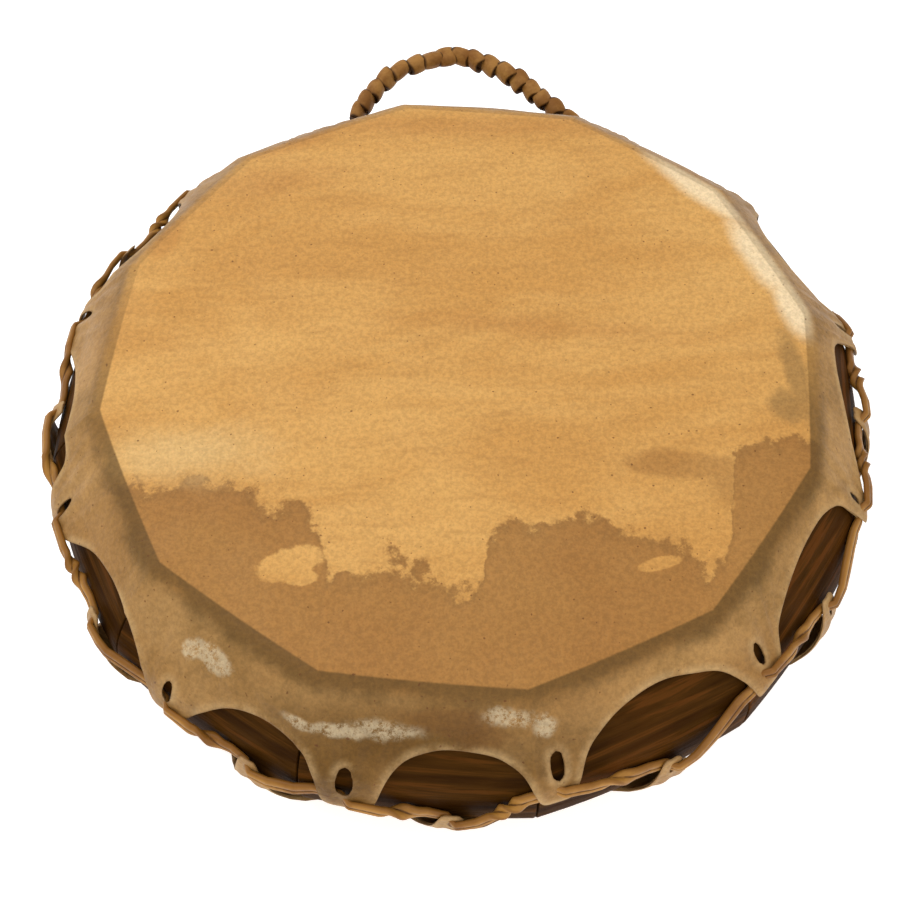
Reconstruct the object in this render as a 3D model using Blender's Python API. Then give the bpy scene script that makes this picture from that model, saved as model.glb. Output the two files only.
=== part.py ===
"""Flat two-headed rawhide drum: twelve wooden staves in a ring, two laced skins and a wrapped handle.

Angles are azimuths in degrees, 0 at the front (-Y) and growing towards +X. Heights are measured from the
plane of the widest ring, and place() lifts them so that the lower skin rests on z = 0.
"""

import math

import bmesh
import bpy
from mathutils import Vector

# Whole drum
DRUM_HEIGHT = 0.098
SKIN = 0.0015
GAP = 0.0003
SHARP_ANGLE = 28.0

# Wooden ring
BELLY_RADIUS = 0.1955
RIM_RADIUS = 0.1665
RIM_SETBACK = 0.0040
BELLY_POWER = 2.00
WALL = 0.012
STAVE_COUNT = 12
FIRST_JOINT = -20.5
FLATS_PER_STAVE = 3
EDGE_WEAR_AT_BELLY = 0.55
EDGE_WEAR_AT_RIM = 0.15
LEVELS = (0.0, 0.1, 0.25, 0.45, 0.7, 1.0)
INNER_LEVELS = (0.0, 0.6, 1.0)

# Skins: azimuth of each upper tab, and how far from the rim the scallop that follows it ends
TABS = (-155.0, -133.6, -103.8, -69.1, -38.6, -13.0, 12.4, 42.8, 71.3, 101.4, 131.0, 153.5)
SKIRT_DEPTHS = (
    0.0082, 0.0052, 0.0104, 0.0142, 0.0184, 0.0162, 0.0099, 0.0094, 0.0109, 0.0092, 0.0102, 0.0102,
)
SCALLOP_SHOULDER = 2.4
SCALLOP_SPRING = 2.15
SCALLOP_STEPS = 4
UPPER_TIP = 0.0060
LOWER_TIP = 0.0065
TAB_WIDTH = 0.0215
TAB_CORNER = 0.0025
HOLE_WIDTH = 0.0094
HOLE_FROM_TIP = 0.0060
HOLE_LENGTH = 0.0130
HOLE_SIDES = 8
HOLE_SQUARENESS = 3.2
HEAD_EDGE = 0.024
SKIRT_FOOT = (-0.1, -0.2)
LIFT_FOOT = 0.42
LIFT_HEAD = 0.62

# Lacing
LACE_WIDTH = 0.0046
LACE_THICKNESS = 0.0016
LACE_FROM_TIP = 0.0088
LACE_EASE = 0.0008
LACE_RISE = 0.42
LACE_MARGIN = 1.2
LACE_SAMPLES = 8
LACE_SHORTEST_STEP = 0.2
TIE_AZIMUTHS = (-163.3, 161.3)
TIE_THICKNESS = 0.0024
TIE_EASE = 0.00115
TIE_SQUARENESS = 4.0
TIE_STEPS = 12
TIE_SIDES = 5
TIE_TO_HANDLE = 0.0020

# Handle: its route in shares of the span between the ties and of the reach
HANDLE_THICKNESS = 0.0106
HANDLE_TIP_THICKNESS = 0.0076
HANDLE_TAPER = 0.0050
HANDLE_REACH = 0.0410
HANDLE_LEAN = 75.0
HANDLE_TURNS = 17
HANDLE_SIDES = 8
RINGS_PER_TURN = 2
ROUTE_STEPS = 200
WRAP_DEPTH = 0.00075
WRAP_SLANT = 0.5
SLANT_TURNS_OVER = 0.17
SLANT_STARTS_OVER = 0.10
HANDLE_ROUTE = (
    (0.00, 0.00), (0.02, 0.10), (0.05, 0.22), (0.09, 0.39), (0.15, 0.61), (0.22, 0.78), (0.33, 0.90),
    (0.48, 1.00), (0.60, 0.93), (0.70, 0.77), (0.80, 0.55), (0.90, 0.28), (0.98, 0.09), (1.00, 0.00),
)

STAVE_HALF = DRUM_HEIGHT / 2 - SKIN - GAP
PITCH = 360.0 / STAVE_COUNT
LIFT = GAP + LACE_THICKNESS + LACE_EASE
TAB_HALF_ANGLE = math.degrees(TAB_WIDTH / 2 / BELLY_RADIUS)
HOLE_HALF_ANGLE = math.degrees(HOLE_WIDTH / 2 / BELLY_RADIUS)


def place(azimuth, radius, height):
    """Point at an azimuth in degrees, a radius and a height above the widest ring.

    Both rims sit a little behind the middle of the widest ring, so the drum bulges more at the front.
    """
    angle = math.radians(azimuth)
    setback = RIM_SETBACK * (height / (DRUM_HEIGHT / 2)) ** 2
    return Vector((radius * math.sin(angle), setback - radius * math.cos(angle), DRUM_HEIGHT / 2 + height))


def corner_radius(height):
    """Radius of the ring at the joints between staves, straight between the carved levels."""
    share = min(abs(height) / STAVE_HALF, 1.0)
    upper = next(index for index in range(1, len(LEVELS)) if share <= LEVELS[index] + 1e-9)
    low, high = LEVELS[upper - 1], LEVELS[upper]
    drop_low, drop_high = (max(level - LEVELS[1], 0.0) / (1.0 - LEVELS[1]) for level in (low, high))
    drop_low, drop_high = drop_low ** BELLY_POWER, drop_high ** BELLY_POWER
    drop = drop_low + (drop_high - drop_low) * (share - low) / (high - low)
    return BELLY_RADIUS - (BELLY_RADIUS - RIM_RADIUS) * drop


def edge_radius(offset, height):
    """Radius at an angle from a stave's middle, between a flat board and a worn round one."""
    corner = corner_radius(height)
    flat = corner * math.cos(math.radians(PITCH / 2)) / math.cos(math.radians(offset))
    share = min(abs(height) / STAVE_HALF, 1.0)
    wear = EDGE_WEAR_AT_BELLY + (EDGE_WEAR_AT_RIM - EDGE_WEAR_AT_BELLY) * share
    return flat + (corner - flat) * wear


def shell_radius(azimuth, height):
    """Radius of the outside of the wooden ring, which has straight flats across each stave."""
    step = PITCH / FLATS_PER_STAVE
    turned = (azimuth - FIRST_JOINT) % PITCH
    index = min(int(turned / step), FLATS_PER_STAVE - 1)
    start = index * step - PITCH / 2
    here = turned - PITCH / 2
    first, second = edge_radius(start, height), edge_radius(start + step, height)
    ahead = math.sin(math.radians(start + step - here))
    behind = math.sin(math.radians(here - start))
    return first * second * math.sin(math.radians(step)) / (first * behind + second * ahead)


def shell_columns():
    """Azimuths of the edges between the flats, all the way round."""
    count = STAVE_COUNT * FLATS_PER_STAVE
    return [FIRST_JOINT + index * 360.0 / count for index in range(count)]


def paint(name, colour, roughness):
    """Principled material with one colour and roughness."""
    material = bpy.data.materials.new(name)
    material.use_nodes = True
    shader = material.node_tree.nodes["Principled BSDF"]
    shader.inputs["Base Color"].default_value = (*colour, 1.0)
    shader.inputs["Roughness"].default_value = roughness
    shader.inputs["Metallic"].default_value = 0.0
    material.diffuse_color = (*colour, 1.0)
    return material


def solid(name, points, faces, material=None):
    """Object with one closed mesh, its faces turned outwards."""
    mesh = bpy.data.meshes.new(name)
    mesh.from_pydata(points, [], faces)
    work = bmesh.new()
    work.from_mesh(mesh)
    bmesh.ops.triangulate(work, faces=work.faces)
    bmesh.ops.recalc_face_normals(work, faces=work.faces)
    work.to_mesh(mesh)
    work.free()
    mesh.shade_smooth()
    mesh.set_sharp_from_angle(angle=math.radians(SHARP_ANGLE))
    item = bpy.data.objects.new(name, mesh)
    bpy.context.scene.collection.objects.link(item)
    if material:
        mesh.materials.append(material)
    return item


def loft(name, rings, material, closed):
    """Object made by joining equal rings of points, as a closed loop or with flat ends."""
    size = len(rings[0])
    points = [point for ring in rings for point in ring]
    faces = []
    spans = len(rings) if closed else len(rings) - 1
    for ring in range(spans):
        here, following = ring * size, (ring + 1) % len(rings) * size
        for side in range(size):
            beside = (side + 1) % size
            faces.append((here + side, here + beside, following + beside, following + side))
    if not closed:
        faces.append(tuple(range(size)))
        faces.append(tuple(range((len(rings) - 1) * size, len(rings) * size)))
    return solid(name, points, faces, material)


def cut(target, cutter):
    """Take a hidden cutter away from an object."""
    cutter.hide_render = True
    cutter.display_type = "WIRE"
    modifier = target.modifiers.new("cut_" + cutter.name, "BOOLEAN")
    modifier.operation = "DIFFERENCE"
    modifier.solver = "EXACT"
    modifier.object = cutter


def make_stave(index, material):
    """One wooden stave: three flats outside, a flat hollowed inside and a plane joint at each side."""
    joint_gap = math.degrees(GAP / 2 / RIM_RADIUS)
    start = FIRST_JOINT + index * PITCH + joint_gap
    end = FIRST_JOINT + (index + 1) * PITCH - joint_gap
    step = PITCH / FLATS_PER_STAVE
    inner_edges = [FIRST_JOINT + index * PITCH + step * flat for flat in range(1, FLATS_PER_STAVE)]
    columns = [start] + inner_edges + [end]
    heights = [-level * STAVE_HALF for level in reversed(LEVELS[1:])]
    heights += [level * STAVE_HALF for level in LEVELS]
    inner_heights = [-level * STAVE_HALF for level in reversed(INNER_LEVELS[1:])]
    inner_heights += [level * STAVE_HALF for level in INNER_LEVELS]
    points = []
    for height in heights:
        points += [place(azimuth, shell_radius(azimuth, height), height) for azimuth in columns]
    inner_start = len(points)
    wall = WALL / math.cos(math.radians(PITCH / 2))
    for height in inner_heights:
        radius = corner_radius(height) - wall
        points += [place(azimuth, radius, height) for azimuth in (start, end)]
    width = len(columns)
    faces = []
    for row in range(len(heights) - 1):
        for column in range(width - 1):
            corner = row * width + column
            faces.append((corner, corner + 1, corner + width + 1, corner + width))
    for row in range(len(inner_heights) - 1):
        corner = inner_start + row * 2
        faces.append((corner, corner + 2, corner + 3, corner + 1))
    for side in range(2):
        outer = [row * width + side * (width - 1) for row in range(len(heights))]
        inner = [inner_start + row * 2 + side for row in range(len(inner_heights))]
        faces.append(tuple(outer + inner[::-1]))
    top = (len(heights) - 1) * width
    inner_top = inner_start + (len(inner_heights) - 1) * 2
    faces.append(tuple(list(range(width)) + [inner_start + 1, inner_start]))
    faces.append(tuple(list(range(top, top + width)) + [inner_top + 1, inner_top]))
    return solid(f"stave_{index + 1:02d}", points, faces, material)


def offset_outline(outline, distances):
    """Outline of (radius, height) points moved outwards, each by its own distance."""
    moved = []
    for index, (radius, height) in enumerate(outline):
        before = outline[max(index - 1, 0)]
        after = outline[min(index + 1, len(outline) - 1)]
        normals = []
        for first, second in ((before, (radius, height)), ((radius, height), after)):
            run, rise = second[0] - first[0], second[1] - first[1]
            length = math.hypot(run, rise)
            if length > 0:
                normals.append((-rise / length, run / length))
        across = sum(normal[0] for normal in normals) / len(normals)
        upward = sum(normal[1] for normal in normals) / len(normals)
        spread = across * across + upward * upward
        distance = distances[index] / spread
        moved.append((radius + across * distance, height + upward * distance))
    return moved


def skin_lift(share):
    """How far the skin stands off the wood at a share of the half height: the lace lies under its tabs."""
    return LIFT * min(max((LIFT_HEAD - share) / (LIFT_HEAD - LIFT_FOOT), 0.0), 1.0)


def skin_outline(azimuth, extra):
    """Outline of the skin's face at an azimuth, from the flat head down to the foot of the tabs."""
    rim = shell_radius(azimuth, STAVE_HALF)
    outline = [(rim - HEAD_EDGE, STAVE_HALF)]
    distances = [extra]
    for level in tuple(reversed(LEVELS)) + SKIRT_FOOT:
        height = level * STAVE_HALF
        outline.append((shell_radius(azimuth, height), height))
        distances.append(extra + skin_lift(level))
    return offset_outline(outline, distances)


def scallop_height(azimuth, tabs, tip):
    """Height of the skin's lower edge: tab tips, and arches that reach to their depths below the rim."""
    count = len(tabs)
    for index in range(count):
        tab = tabs[index]
        offset = wrap_turn(azimuth - tab)
        if abs(offset) <= TAB_HALF_ANGLE + 1e-6:
            return tip + TAB_CORNER * abs(offset / TAB_HALF_ANGLE) ** 3
    for index in range(count):
        start = tabs[index] + TAB_HALF_ANGLE
        span = (tabs[(index + 1) % count] - TAB_HALF_ANGLE - start) % 360.0
        offset = (azimuth - start) % 360.0
        if offset < span:
            across = abs(2.0 * offset / span - 1.0)
            arch = (1.0 - across ** SCALLOP_SHOULDER) ** (1.0 / SCALLOP_SPRING)
            foot = tip + TAB_CORNER
            return foot + (STAVE_HALF - SKIRT_DEPTHS[index] - foot) * arch
    raise ValueError("azimuth lies on no tab and no scallop")


def scallop_azimuths(tabs):
    """Azimuths where the skin's lower edge has a corner, close together where it is steep."""
    azimuths = []
    for index, tab in enumerate(tabs):
        azimuths += [tab - TAB_HALF_ANGLE / 2, tab, tab + TAB_HALF_ANGLE / 2]
        start = tab + TAB_HALF_ANGLE
        span = (tabs[(index + 1) % len(tabs)] - TAB_HALF_ANGLE - start) % 360.0
        for step in range(2 * SCALLOP_STEPS + 1):
            share = math.sin(math.pi / 2 * (step / SCALLOP_STEPS - 1.0))
            azimuths.append(start + span * (share + 1.0) / 2)
    return azimuths


def make_head(name, side, tabs, tip, material):
    """One skin: a flat head, a skirt down the staves, and scallops between tabs with lacing holes."""
    columns = shell_columns()
    rings = []
    for azimuth in columns:
        outer = skin_outline(azimuth, GAP + SKIN)
        inner = skin_outline(azimuth, GAP)
        rings.append([place(azimuth, radius, side * height) for radius, height in outer + inner[::-1]])
    size = len(rings[0])
    points = [point for ring in rings for point in ring]
    faces = []
    for ring in range(len(rings)):
        here, following = ring * size, (ring + 1) % len(rings) * size
        for row in range(size - 1):
            faces.append((here + row, here + row + 1, following + row + 1, following + row))
    faces.append(tuple(ring * size for ring in range(len(rings))))
    faces.append(tuple(ring * size + size - 1 for ring in range(len(rings))))
    head = solid(name, points, faces, material)

    inside, outside = RIM_RADIUS - WALL / 2, BELLY_RADIUS + 2 * WALL
    floor = 2 * SKIRT_FOOT[-1] * STAVE_HALF
    sections = []
    for azimuth in scallop_azimuths(tabs):
        edge = scallop_height(azimuth, tabs, tip)
        corners = ((inside, floor), (outside, floor), (outside, edge), (inside, edge))
        sections.append([place(azimuth, radius, side * height) for radius, height in corners])
    cut(head, loft(name + "_scallop_cutter", sections, None, True))

    half = HOLE_LENGTH / 2
    middle = tip + HOLE_FROM_TIP + half
    near, far = BELLY_RADIUS - WALL, BELLY_RADIUS + WALL
    points, faces = [], []
    for tab in tabs:
        first = len(points)
        for radius in (near, far):
            for step in range(HOLE_SIDES):
                across, upward = rounded(2 * math.pi * (step + 0.5) / HOLE_SIDES, HOLE_SQUARENESS)
                azimuth = tab + HOLE_HALF_ANGLE * across
                points.append(place(azimuth, radius, side * (middle + half * upward)))
        for step in range(HOLE_SIDES):
            beside = (step + 1) % HOLE_SIDES
            low, high = first + step, first + HOLE_SIDES + step
            faces.append((low, first + beside, first + HOLE_SIDES + beside, high))
        faces.append(tuple(range(first, first + HOLE_SIDES)))
        faces.append(tuple(range(first + HOLE_SIDES, first + 2 * HOLE_SIDES)))
    cut(head, solid(name + "_hole_cutter", points, faces))
    return head


def rounded(angle, squareness):
    """Point at an angle on a unit shape between a circle (2) and a square (many)."""
    across, upward = math.cos(angle), math.sin(angle)
    size = (abs(across) ** squareness + abs(upward) ** squareness) ** (1.0 / squareness)
    return across / size, upward / size


def wrap_turn(azimuth):
    """The same azimuth between -180 and 180 degrees."""
    return (azimuth + 180.0) % 360.0 - 180.0


def lower_tabs():
    """Azimuths of the lower skin's tabs, halfway between the upper ones."""
    count = len(TABS)
    spans = [(TABS[(index + 1) % count] - TABS[index]) % 360.0 for index in range(count)]
    return tuple(TABS[index] + spans[index] / 2 for index in range(count))


def lace_anchors():
    """Azimuth and height at which the lace passes each tab, in the order in which it runs."""
    anchors = []
    for upper, lower in zip(TABS, lower_tabs()):
        anchors += [(upper, UPPER_TIP + LACE_FROM_TIP), (lower, LOWER_TIP - LACE_FROM_TIP)]
    return anchors


def lace_height(azimuth):
    """Height of the lace's middle as it runs from an upper tab to a lower one and back."""
    anchors = lace_anchors()
    for index, (start, first) in enumerate(anchors):
        end, second = anchors[(index + 1) % len(anchors)]
        span = (end - start) % 360.0
        offset = (azimuth - start) % 360.0
        if offset < span:
            share = offset / span
            eased = (share + (1.0 - math.cos(math.pi * share)) / 2) / 2
            return first + (second - first) * eased
    raise ValueError("azimuth lies between no two tabs")


def lace_standoffs():
    """Azimuths along the lace with its distance from the wood: under a tab's left side, over its right."""
    under = 2.5 * GAP + LACE_THICKNESS / 2
    over = GAP + LIFT + SKIN + 3 * GAP + LACE_THICKNESS / 2
    inset = HOLE_HALF_ANGLE * LACE_RISE
    past_tab = TAB_HALF_ANGLE + LACE_MARGIN
    stations = []
    for azimuth, height in lace_anchors():
        stations += [(azimuth - past_tab, under), (azimuth - inset, under)]
        stations += [(azimuth + inset, over), (azimuth + past_tab, over)]
    for azimuth in TIE_AZIMUTHS:
        stations += [(azimuth - LACE_MARGIN, over), (azimuth + LACE_MARGIN, over)]
    return sorted((wrap_turn(azimuth), standoff) for azimuth, standoff in stations)


def lace_standoff(azimuth):
    """Distance of the lace's middle from the wood at an azimuth."""
    stations = lace_standoffs()
    for index in range(len(stations)):
        start, first = stations[index]
        end, second = stations[(index + 1) % len(stations)]
        span = (end - start) % 360.0
        offset = (azimuth - start) % 360.0
        if offset <= span:
            return first + (second - first) * offset / span
    raise ValueError("azimuth lies between no two stations")


def surface_point(azimuth, height):
    """Point on the outside of the wooden ring."""
    return place(azimuth, shell_radius(azimuth, height), height)


def surface_normal(azimuth, height):
    """Direction away from the ring's rounded side, averaged over the lace's width."""
    above, below = height + LACE_WIDTH / 2, height - LACE_WIDTH / 2
    angle = math.atan2(shell_radius(azimuth, below) - shell_radius(azimuth, above), LACE_WIDTH)
    outward = place(azimuth, 1.0, 0.0) - place(azimuth, 0.0, 0.0)
    return outward * math.cos(angle) + Vector((0.0, 0.0, math.sin(angle)))


def lace_point(azimuth):
    """Point on the lace's middle line, clear of the wood over the lace's whole width."""
    height = lace_height(azimuth)
    ground = surface_point(azimuth, height)
    normal = surface_normal(azimuth, height)
    across = [LACE_WIDTH * (step / LACE_SAMPLES - 0.5) for step in range(LACE_SAMPLES + 1)]
    bulge = max(normal.dot(surface_point(azimuth, height + offset) - ground) for offset in across)
    return ground + normal * (lace_standoff(azimuth) + bulge)


def make_lacing(material):
    """One flat thong that runs in a zigzag through every tab of both skins."""
    azimuths = [azimuth for azimuth, standoff in lace_standoffs()]
    azimuths += [wrap_turn(azimuth) for azimuth, height in lace_anchors()]
    azimuths += [wrap_turn(azimuth) for azimuth in shell_columns()]
    azimuths.sort()
    kept = [azimuths[0]]
    for azimuth in azimuths[1:]:
        if azimuth - kept[-1] > LACE_SHORTEST_STEP:
            kept.append(azimuth)
    centres = [lace_point(azimuth) for azimuth in kept]
    rings = []
    for index, centre in enumerate(centres):
        along = (centres[(index + 1) % len(centres)] - centres[index - 1]).normalized()
        outward = surface_normal(kept[index], lace_height(kept[index]))
        outward = (outward - along * outward.dot(along)).normalized()
        across = along.cross(outward)
        half_thick, half_wide = outward * LACE_THICKNESS / 2, across * LACE_WIDTH / 2
        rings.append([centre + half_thick + half_wide, centre + half_thick - half_wide,
                      centre - half_thick - half_wide, centre - half_thick + half_wide])
    return loft("lacing", rings, material, True)


def tie_sizes():
    """Half depth and half height of a tie's middle line around the lace."""
    half_depth = LACE_THICKNESS / 2 + GAP + TIE_THICKNESS / 2
    half_height = LACE_WIDTH / 2 + TIE_EASE + GAP + TIE_THICKNESS / 2
    return half_depth, half_height


def make_tie(name, azimuth, material):
    """Thong eye at one end of the handle, looped round the lace."""
    centre = lace_point(azimuth)
    outward = surface_normal(azimuth, lace_height(azimuth))
    along = outward.cross(Vector((0.0, 0.0, 1.0))).normalized()
    upward = along.cross(outward)
    half_depth, half_height = tie_sizes()
    rings = []
    for step in range(TIE_STEPS):
        angle = 2 * math.pi * step / TIE_STEPS
        deep, high = rounded(angle, TIE_SQUARENESS)
        reach = outward * half_depth * deep + upward * half_height * high
        away = (outward * math.cos(angle) + upward * math.sin(angle)).normalized()
        ring = []
        for side in range(TIE_SIDES):
            turn = 2 * math.pi * side / TIE_SIDES
            ring.append(centre + reach + (away * math.cos(turn) + along * math.sin(turn)) * TIE_THICKNESS / 2)
        rings.append(ring)
    return loft(name, rings, material, True)


def handle_end(azimuth):
    """Point just outside a tie, where the wrapping ends."""
    centre = lace_point(azimuth)
    outward = surface_normal(azimuth, lace_height(azimuth))
    half_depth, half_height = tie_sizes()
    return centre + outward * (half_depth + TIE_THICKNESS / 2 + TIE_TO_HANDLE)


def smooth_route(points, share):
    """Point on a smooth curve through the route's points, at a share of its length in points."""
    place_on = share * (len(points) - 1)
    index = min(int(place_on), len(points) - 2)
    local = place_on - index
    before, start = points[max(index - 1, 0)], points[index]
    end, after = points[index + 1], points[min(index + 2, len(points) - 1)]
    value = start * 2 + (end - before) * local
    value += (before * 2 - start * 5 + end * 4 - after) * local ** 2
    value += (start * 3 - before - end * 3 + after) * local ** 3
    return value / 2


def make_handle(material):
    """Wrapped handle: slanting turns of rawhide along an arched route between the ties."""
    left, right = handle_end(TIE_AZIMUTHS[0]), handle_end(TIE_AZIMUTHS[1])
    span = right - left
    lean = math.radians(HANDLE_LEAN)
    reach = Vector((0.0, math.sin(lean), math.cos(lean))) * HANDLE_REACH
    route = [left + span * along + reach * out for along, out in HANDLE_ROUTE]
    fine = [smooth_route(route, step / ROUTE_STEPS) for step in range(ROUTE_STEPS + 1)]
    lengths = [0.0]
    for first, second in zip(fine, fine[1:]):
        lengths.append(lengths[-1] + (second - first).length)

    def at_length(length):
        wanted = min(max(length, 0.0), lengths[-1])
        index = max(next(step for step, total in enumerate(lengths) if total >= wanted), 1)
        share = (wanted - lengths[index - 1]) / (lengths[index] - lengths[index - 1])
        return fine[index - 1].lerp(fine[index], share)

    turn_length = lengths[-1] / HANDLE_TURNS
    count = HANDLE_TURNS * RINGS_PER_TURN
    level = reach.cross(span).normalized()
    rings = []
    for step in range(count + 1):
        share = step / count
        to_end = min(share, 1.0 - share)
        length = share * lengths[-1]
        along = (at_length(length + turn_length / 2) - at_length(length - turn_length / 2)).normalized()
        out = level.cross(along).normalized()
        groove = WRAP_DEPTH if step % RINGS_PER_TURN == 0 else 0.0
        grown = min(1.0, to_end * lengths[-1] / HANDLE_TAPER)
        thickness = HANDLE_TIP_THICKNESS + (HANDLE_THICKNESS - HANDLE_TIP_THICKNESS) * grown
        radius = thickness / 2 - groove
        lean_over = min(max((share - 0.5) / SLANT_TURNS_OVER, -1.0), 1.0)
        lean_over *= min(1.0, to_end / SLANT_STARTS_OVER)
        slant = WRAP_SLANT * turn_length * lean_over
        ring = []
        for side in range(HANDLE_SIDES):
            turn = 2 * math.pi * (side + 0.5) / HANDLE_SIDES
            centre = at_length(length) + along * slant * math.cos(turn)
            ring.append(centre + (out * math.cos(turn) + level * math.sin(turn)) * radius)
        rings.append(ring)
    return loft("handle", rings, material, False)


def build_drum():
    """Make every piece of the drum."""
    wood = paint("stave_wood", (0.085, 0.045, 0.020), 0.6)
    hide = paint("head_rawhide", (0.55, 0.34, 0.15), 0.55)
    thong = paint("lace_rawhide", (0.43, 0.24, 0.07), 0.5)
    grip = paint("handle_rawhide", (0.40, 0.20, 0.06), 0.5)
    for index in range(STAVE_COUNT):
        make_stave(index, wood)
    make_head("top_head", 1, TABS, UPPER_TIP, hide)
    make_head("bottom_head", -1, lower_tabs(), -LOWER_TIP, hide)
    make_lacing(thong)
    for name, azimuth in zip(("handle_tie_left", "handle_tie_right"), TIE_AZIMUTHS):
        make_tie(name, azimuth, thong)
    make_handle(grip)


for leftover in list(bpy.data.objects):
    bpy.data.objects.remove(leftover)
build_drum()
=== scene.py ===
"""Looks of the flat rawhide drum: laced skins, a ring of wooden staves, a twisted lace and a wrapped handle.

Azimuths are degrees, 0 at the front (-Y) and growing towards +X. Heights are measured from the widest ring.
"""

import logging
import math
from dataclasses import dataclass
from enum import Enum

import bmesh
import bpy
import numpy as np
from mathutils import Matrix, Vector
from mathutils.kdtree import KDTree


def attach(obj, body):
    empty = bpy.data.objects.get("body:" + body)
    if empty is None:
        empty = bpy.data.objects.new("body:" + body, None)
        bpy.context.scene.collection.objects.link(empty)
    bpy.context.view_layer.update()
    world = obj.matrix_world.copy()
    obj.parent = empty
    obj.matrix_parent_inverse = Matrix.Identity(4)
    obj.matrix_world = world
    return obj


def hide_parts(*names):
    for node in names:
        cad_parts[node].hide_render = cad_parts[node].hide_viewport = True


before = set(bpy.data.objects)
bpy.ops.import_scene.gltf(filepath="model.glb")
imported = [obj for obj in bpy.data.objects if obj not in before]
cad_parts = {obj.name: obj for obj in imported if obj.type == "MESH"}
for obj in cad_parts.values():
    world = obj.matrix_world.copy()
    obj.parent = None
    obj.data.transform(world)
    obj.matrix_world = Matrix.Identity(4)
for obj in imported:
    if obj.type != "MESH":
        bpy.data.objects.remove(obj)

MM = 0.001
FULL_TURN = 360.0
BODY = "root"
Colour = tuple[float, float, float]
Table = tuple[tuple[float, float], ...]
log = logging.getLogger("drum")


class Side(Enum):
    """The two faces of the drum, by the direction of their height."""

    UPPER = 1
    LOWER = -1


def wrap_turn(azimuth: np.ndarray) -> np.ndarray:
    """The same azimuths between -180 and 180 degrees."""
    return (azimuth + 180.0) % FULL_TURN - 180.0


def smooth_step(value: np.ndarray) -> np.ndarray:
    """Ease from 0 to 1 as the value goes from 0 to 1."""
    held = np.clip(value, 0.0, 1.0)
    return held * held * (3.0 - 2.0 * held)


def unit(vectors: np.ndarray) -> np.ndarray:
    """Vectors of length one, along the last axis."""
    return vectors / np.maximum(np.linalg.norm(vectors, axis=-1, keepdims=True), 1e-12)


def linear(red: int, green: int, blue: int) -> Colour:
    """Scene colour of a screen colour given from 0 to 255."""
    parts = []
    for part in (red, green, blue):
        share = part / 255.0
        parts.append(share / 12.92 if share <= 0.04045 else ((share + 0.055) / 1.055) ** 2.4)
    return tuple(parts)


def ripple(azimuth: np.ndarray, height: np.ndarray, seed: int, waves: int) -> np.ndarray:
    """Slow unevenness between -1 and 1 that closes round the drum.

    Args:
        azimuth: degrees.
        height: metres.
        seed: fixed start of the random draw.
        waves: how many waves are added.

    Returns:
        One value for each point.
    """
    draw = np.random.default_rng(seed)
    total = np.zeros(np.broadcast(azimuth, height).shape)
    for _ in range(waves):
        turns = draw.integers(3, 26)
        rise = draw.uniform(-160.0, 160.0)
        phase = draw.uniform(0.0, 2 * math.pi)
        total = total + np.sin(np.radians(azimuth) * turns + height * rise + phase)
    return total / math.sqrt(waves) / 1.6


def smooth_curve(corners: np.ndarray) -> np.ndarray:
    """Smooth curve through corners, sixteen points for each."""
    before = np.concatenate([corners[:1], corners[:-2]])
    start, end = corners[:-1], corners[1:]
    after = np.concatenate([corners[2:], corners[-1:]])
    found = []
    for local in np.linspace(0.0, 1.0, 16, endpoint=False):
        value = 2 * start + (end - before) * local
        value = value + (2 * before - 5 * start + 4 * end - after) * local ** 2
        found.append((value + (3 * start - before - 3 * end + after) * local ** 3) / 2)
    dense = np.stack(found, axis=1).reshape(-1, corners.shape[1])
    return np.concatenate([dense, corners[-1:]])


@dataclass(frozen=True)
class Barrel:
    """Outside of the wooden ring, by the same rule as the solids."""

    height: float = 0.098
    skin: float = 0.0015
    gap: float = 0.0003
    belly: float = 0.1955
    rim: float = 0.1665
    setback: float = 0.0040
    power: float = 2.00
    belt: float = 0.1
    wall: float = 0.012
    staves: int = 12
    first_joint: float = -20.5
    wear_at_belly: float = 0.55
    wear_at_rim: float = 0.15
    lift: float = 0.0027
    lift_foot: float = 0.42
    lift_head: float = 0.62

    @property
    def half(self) -> float:
        """Half the height of the wood."""
        return self.height / 2 - self.skin - self.gap

    def corner(self, height: np.ndarray) -> np.ndarray:
        """Radius at the joints between staves."""
        share = np.clip(np.abs(height) / self.half, 0.0, 1.0)
        drop = (np.maximum(share - self.belt, 0.0) / (1.0 - self.belt)) ** self.power
        return self.belly - (self.belly - self.rim) * drop

    def radius(self, azimuth: np.ndarray, height: np.ndarray) -> np.ndarray:
        """Radius of the wood, between flat boards and a worn round ring."""
        pitch = FULL_TURN / self.staves
        corner = self.corner(height)
        offset = (azimuth - self.first_joint) % pitch - pitch / 2
        flat = corner * math.cos(math.radians(pitch / 2)) / np.cos(np.radians(offset))
        share = np.clip(np.abs(height) / self.half, 0.0, 1.0)
        wear = self.wear_at_belly + (self.wear_at_rim - self.wear_at_belly) * share
        return flat + (corner - flat) * wear

    def place(self, azimuth: np.ndarray, radius: np.ndarray, height: np.ndarray) -> np.ndarray:
        """Points in metres at azimuths, radii and heights."""
        angle = np.radians(azimuth)
        behind = self.setback * (height / (self.height / 2)) ** 2 - radius * np.cos(angle)
        parts = np.broadcast_arrays(radius * np.sin(angle), behind, self.height / 2 + height)
        return np.stack(parts, axis=-1)

    def normal(self, azimuth: np.ndarray, height: np.ndarray) -> tuple[np.ndarray, np.ndarray]:
        """Outward and upward parts of the direction away from the wood."""
        step = 0.6 * MM
        middle = np.clip(height, -self.half + step, self.half - step)
        slope = (self.radius(azimuth, middle + step) - self.radius(azimuth, middle - step)) / (2 * step)
        length = np.sqrt(1.0 + slope * slope)
        return 1.0 / length, -slope / length

    def skin_lift(self, height: np.ndarray) -> np.ndarray:
        """How far the tabs stand off the wood, over the lace."""
        share = np.abs(height) / self.half
        return self.lift * np.clip((self.lift_head - share) / (self.lift_head - self.lift_foot), 0.0, 1.0)


BARREL = Barrel()


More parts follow.
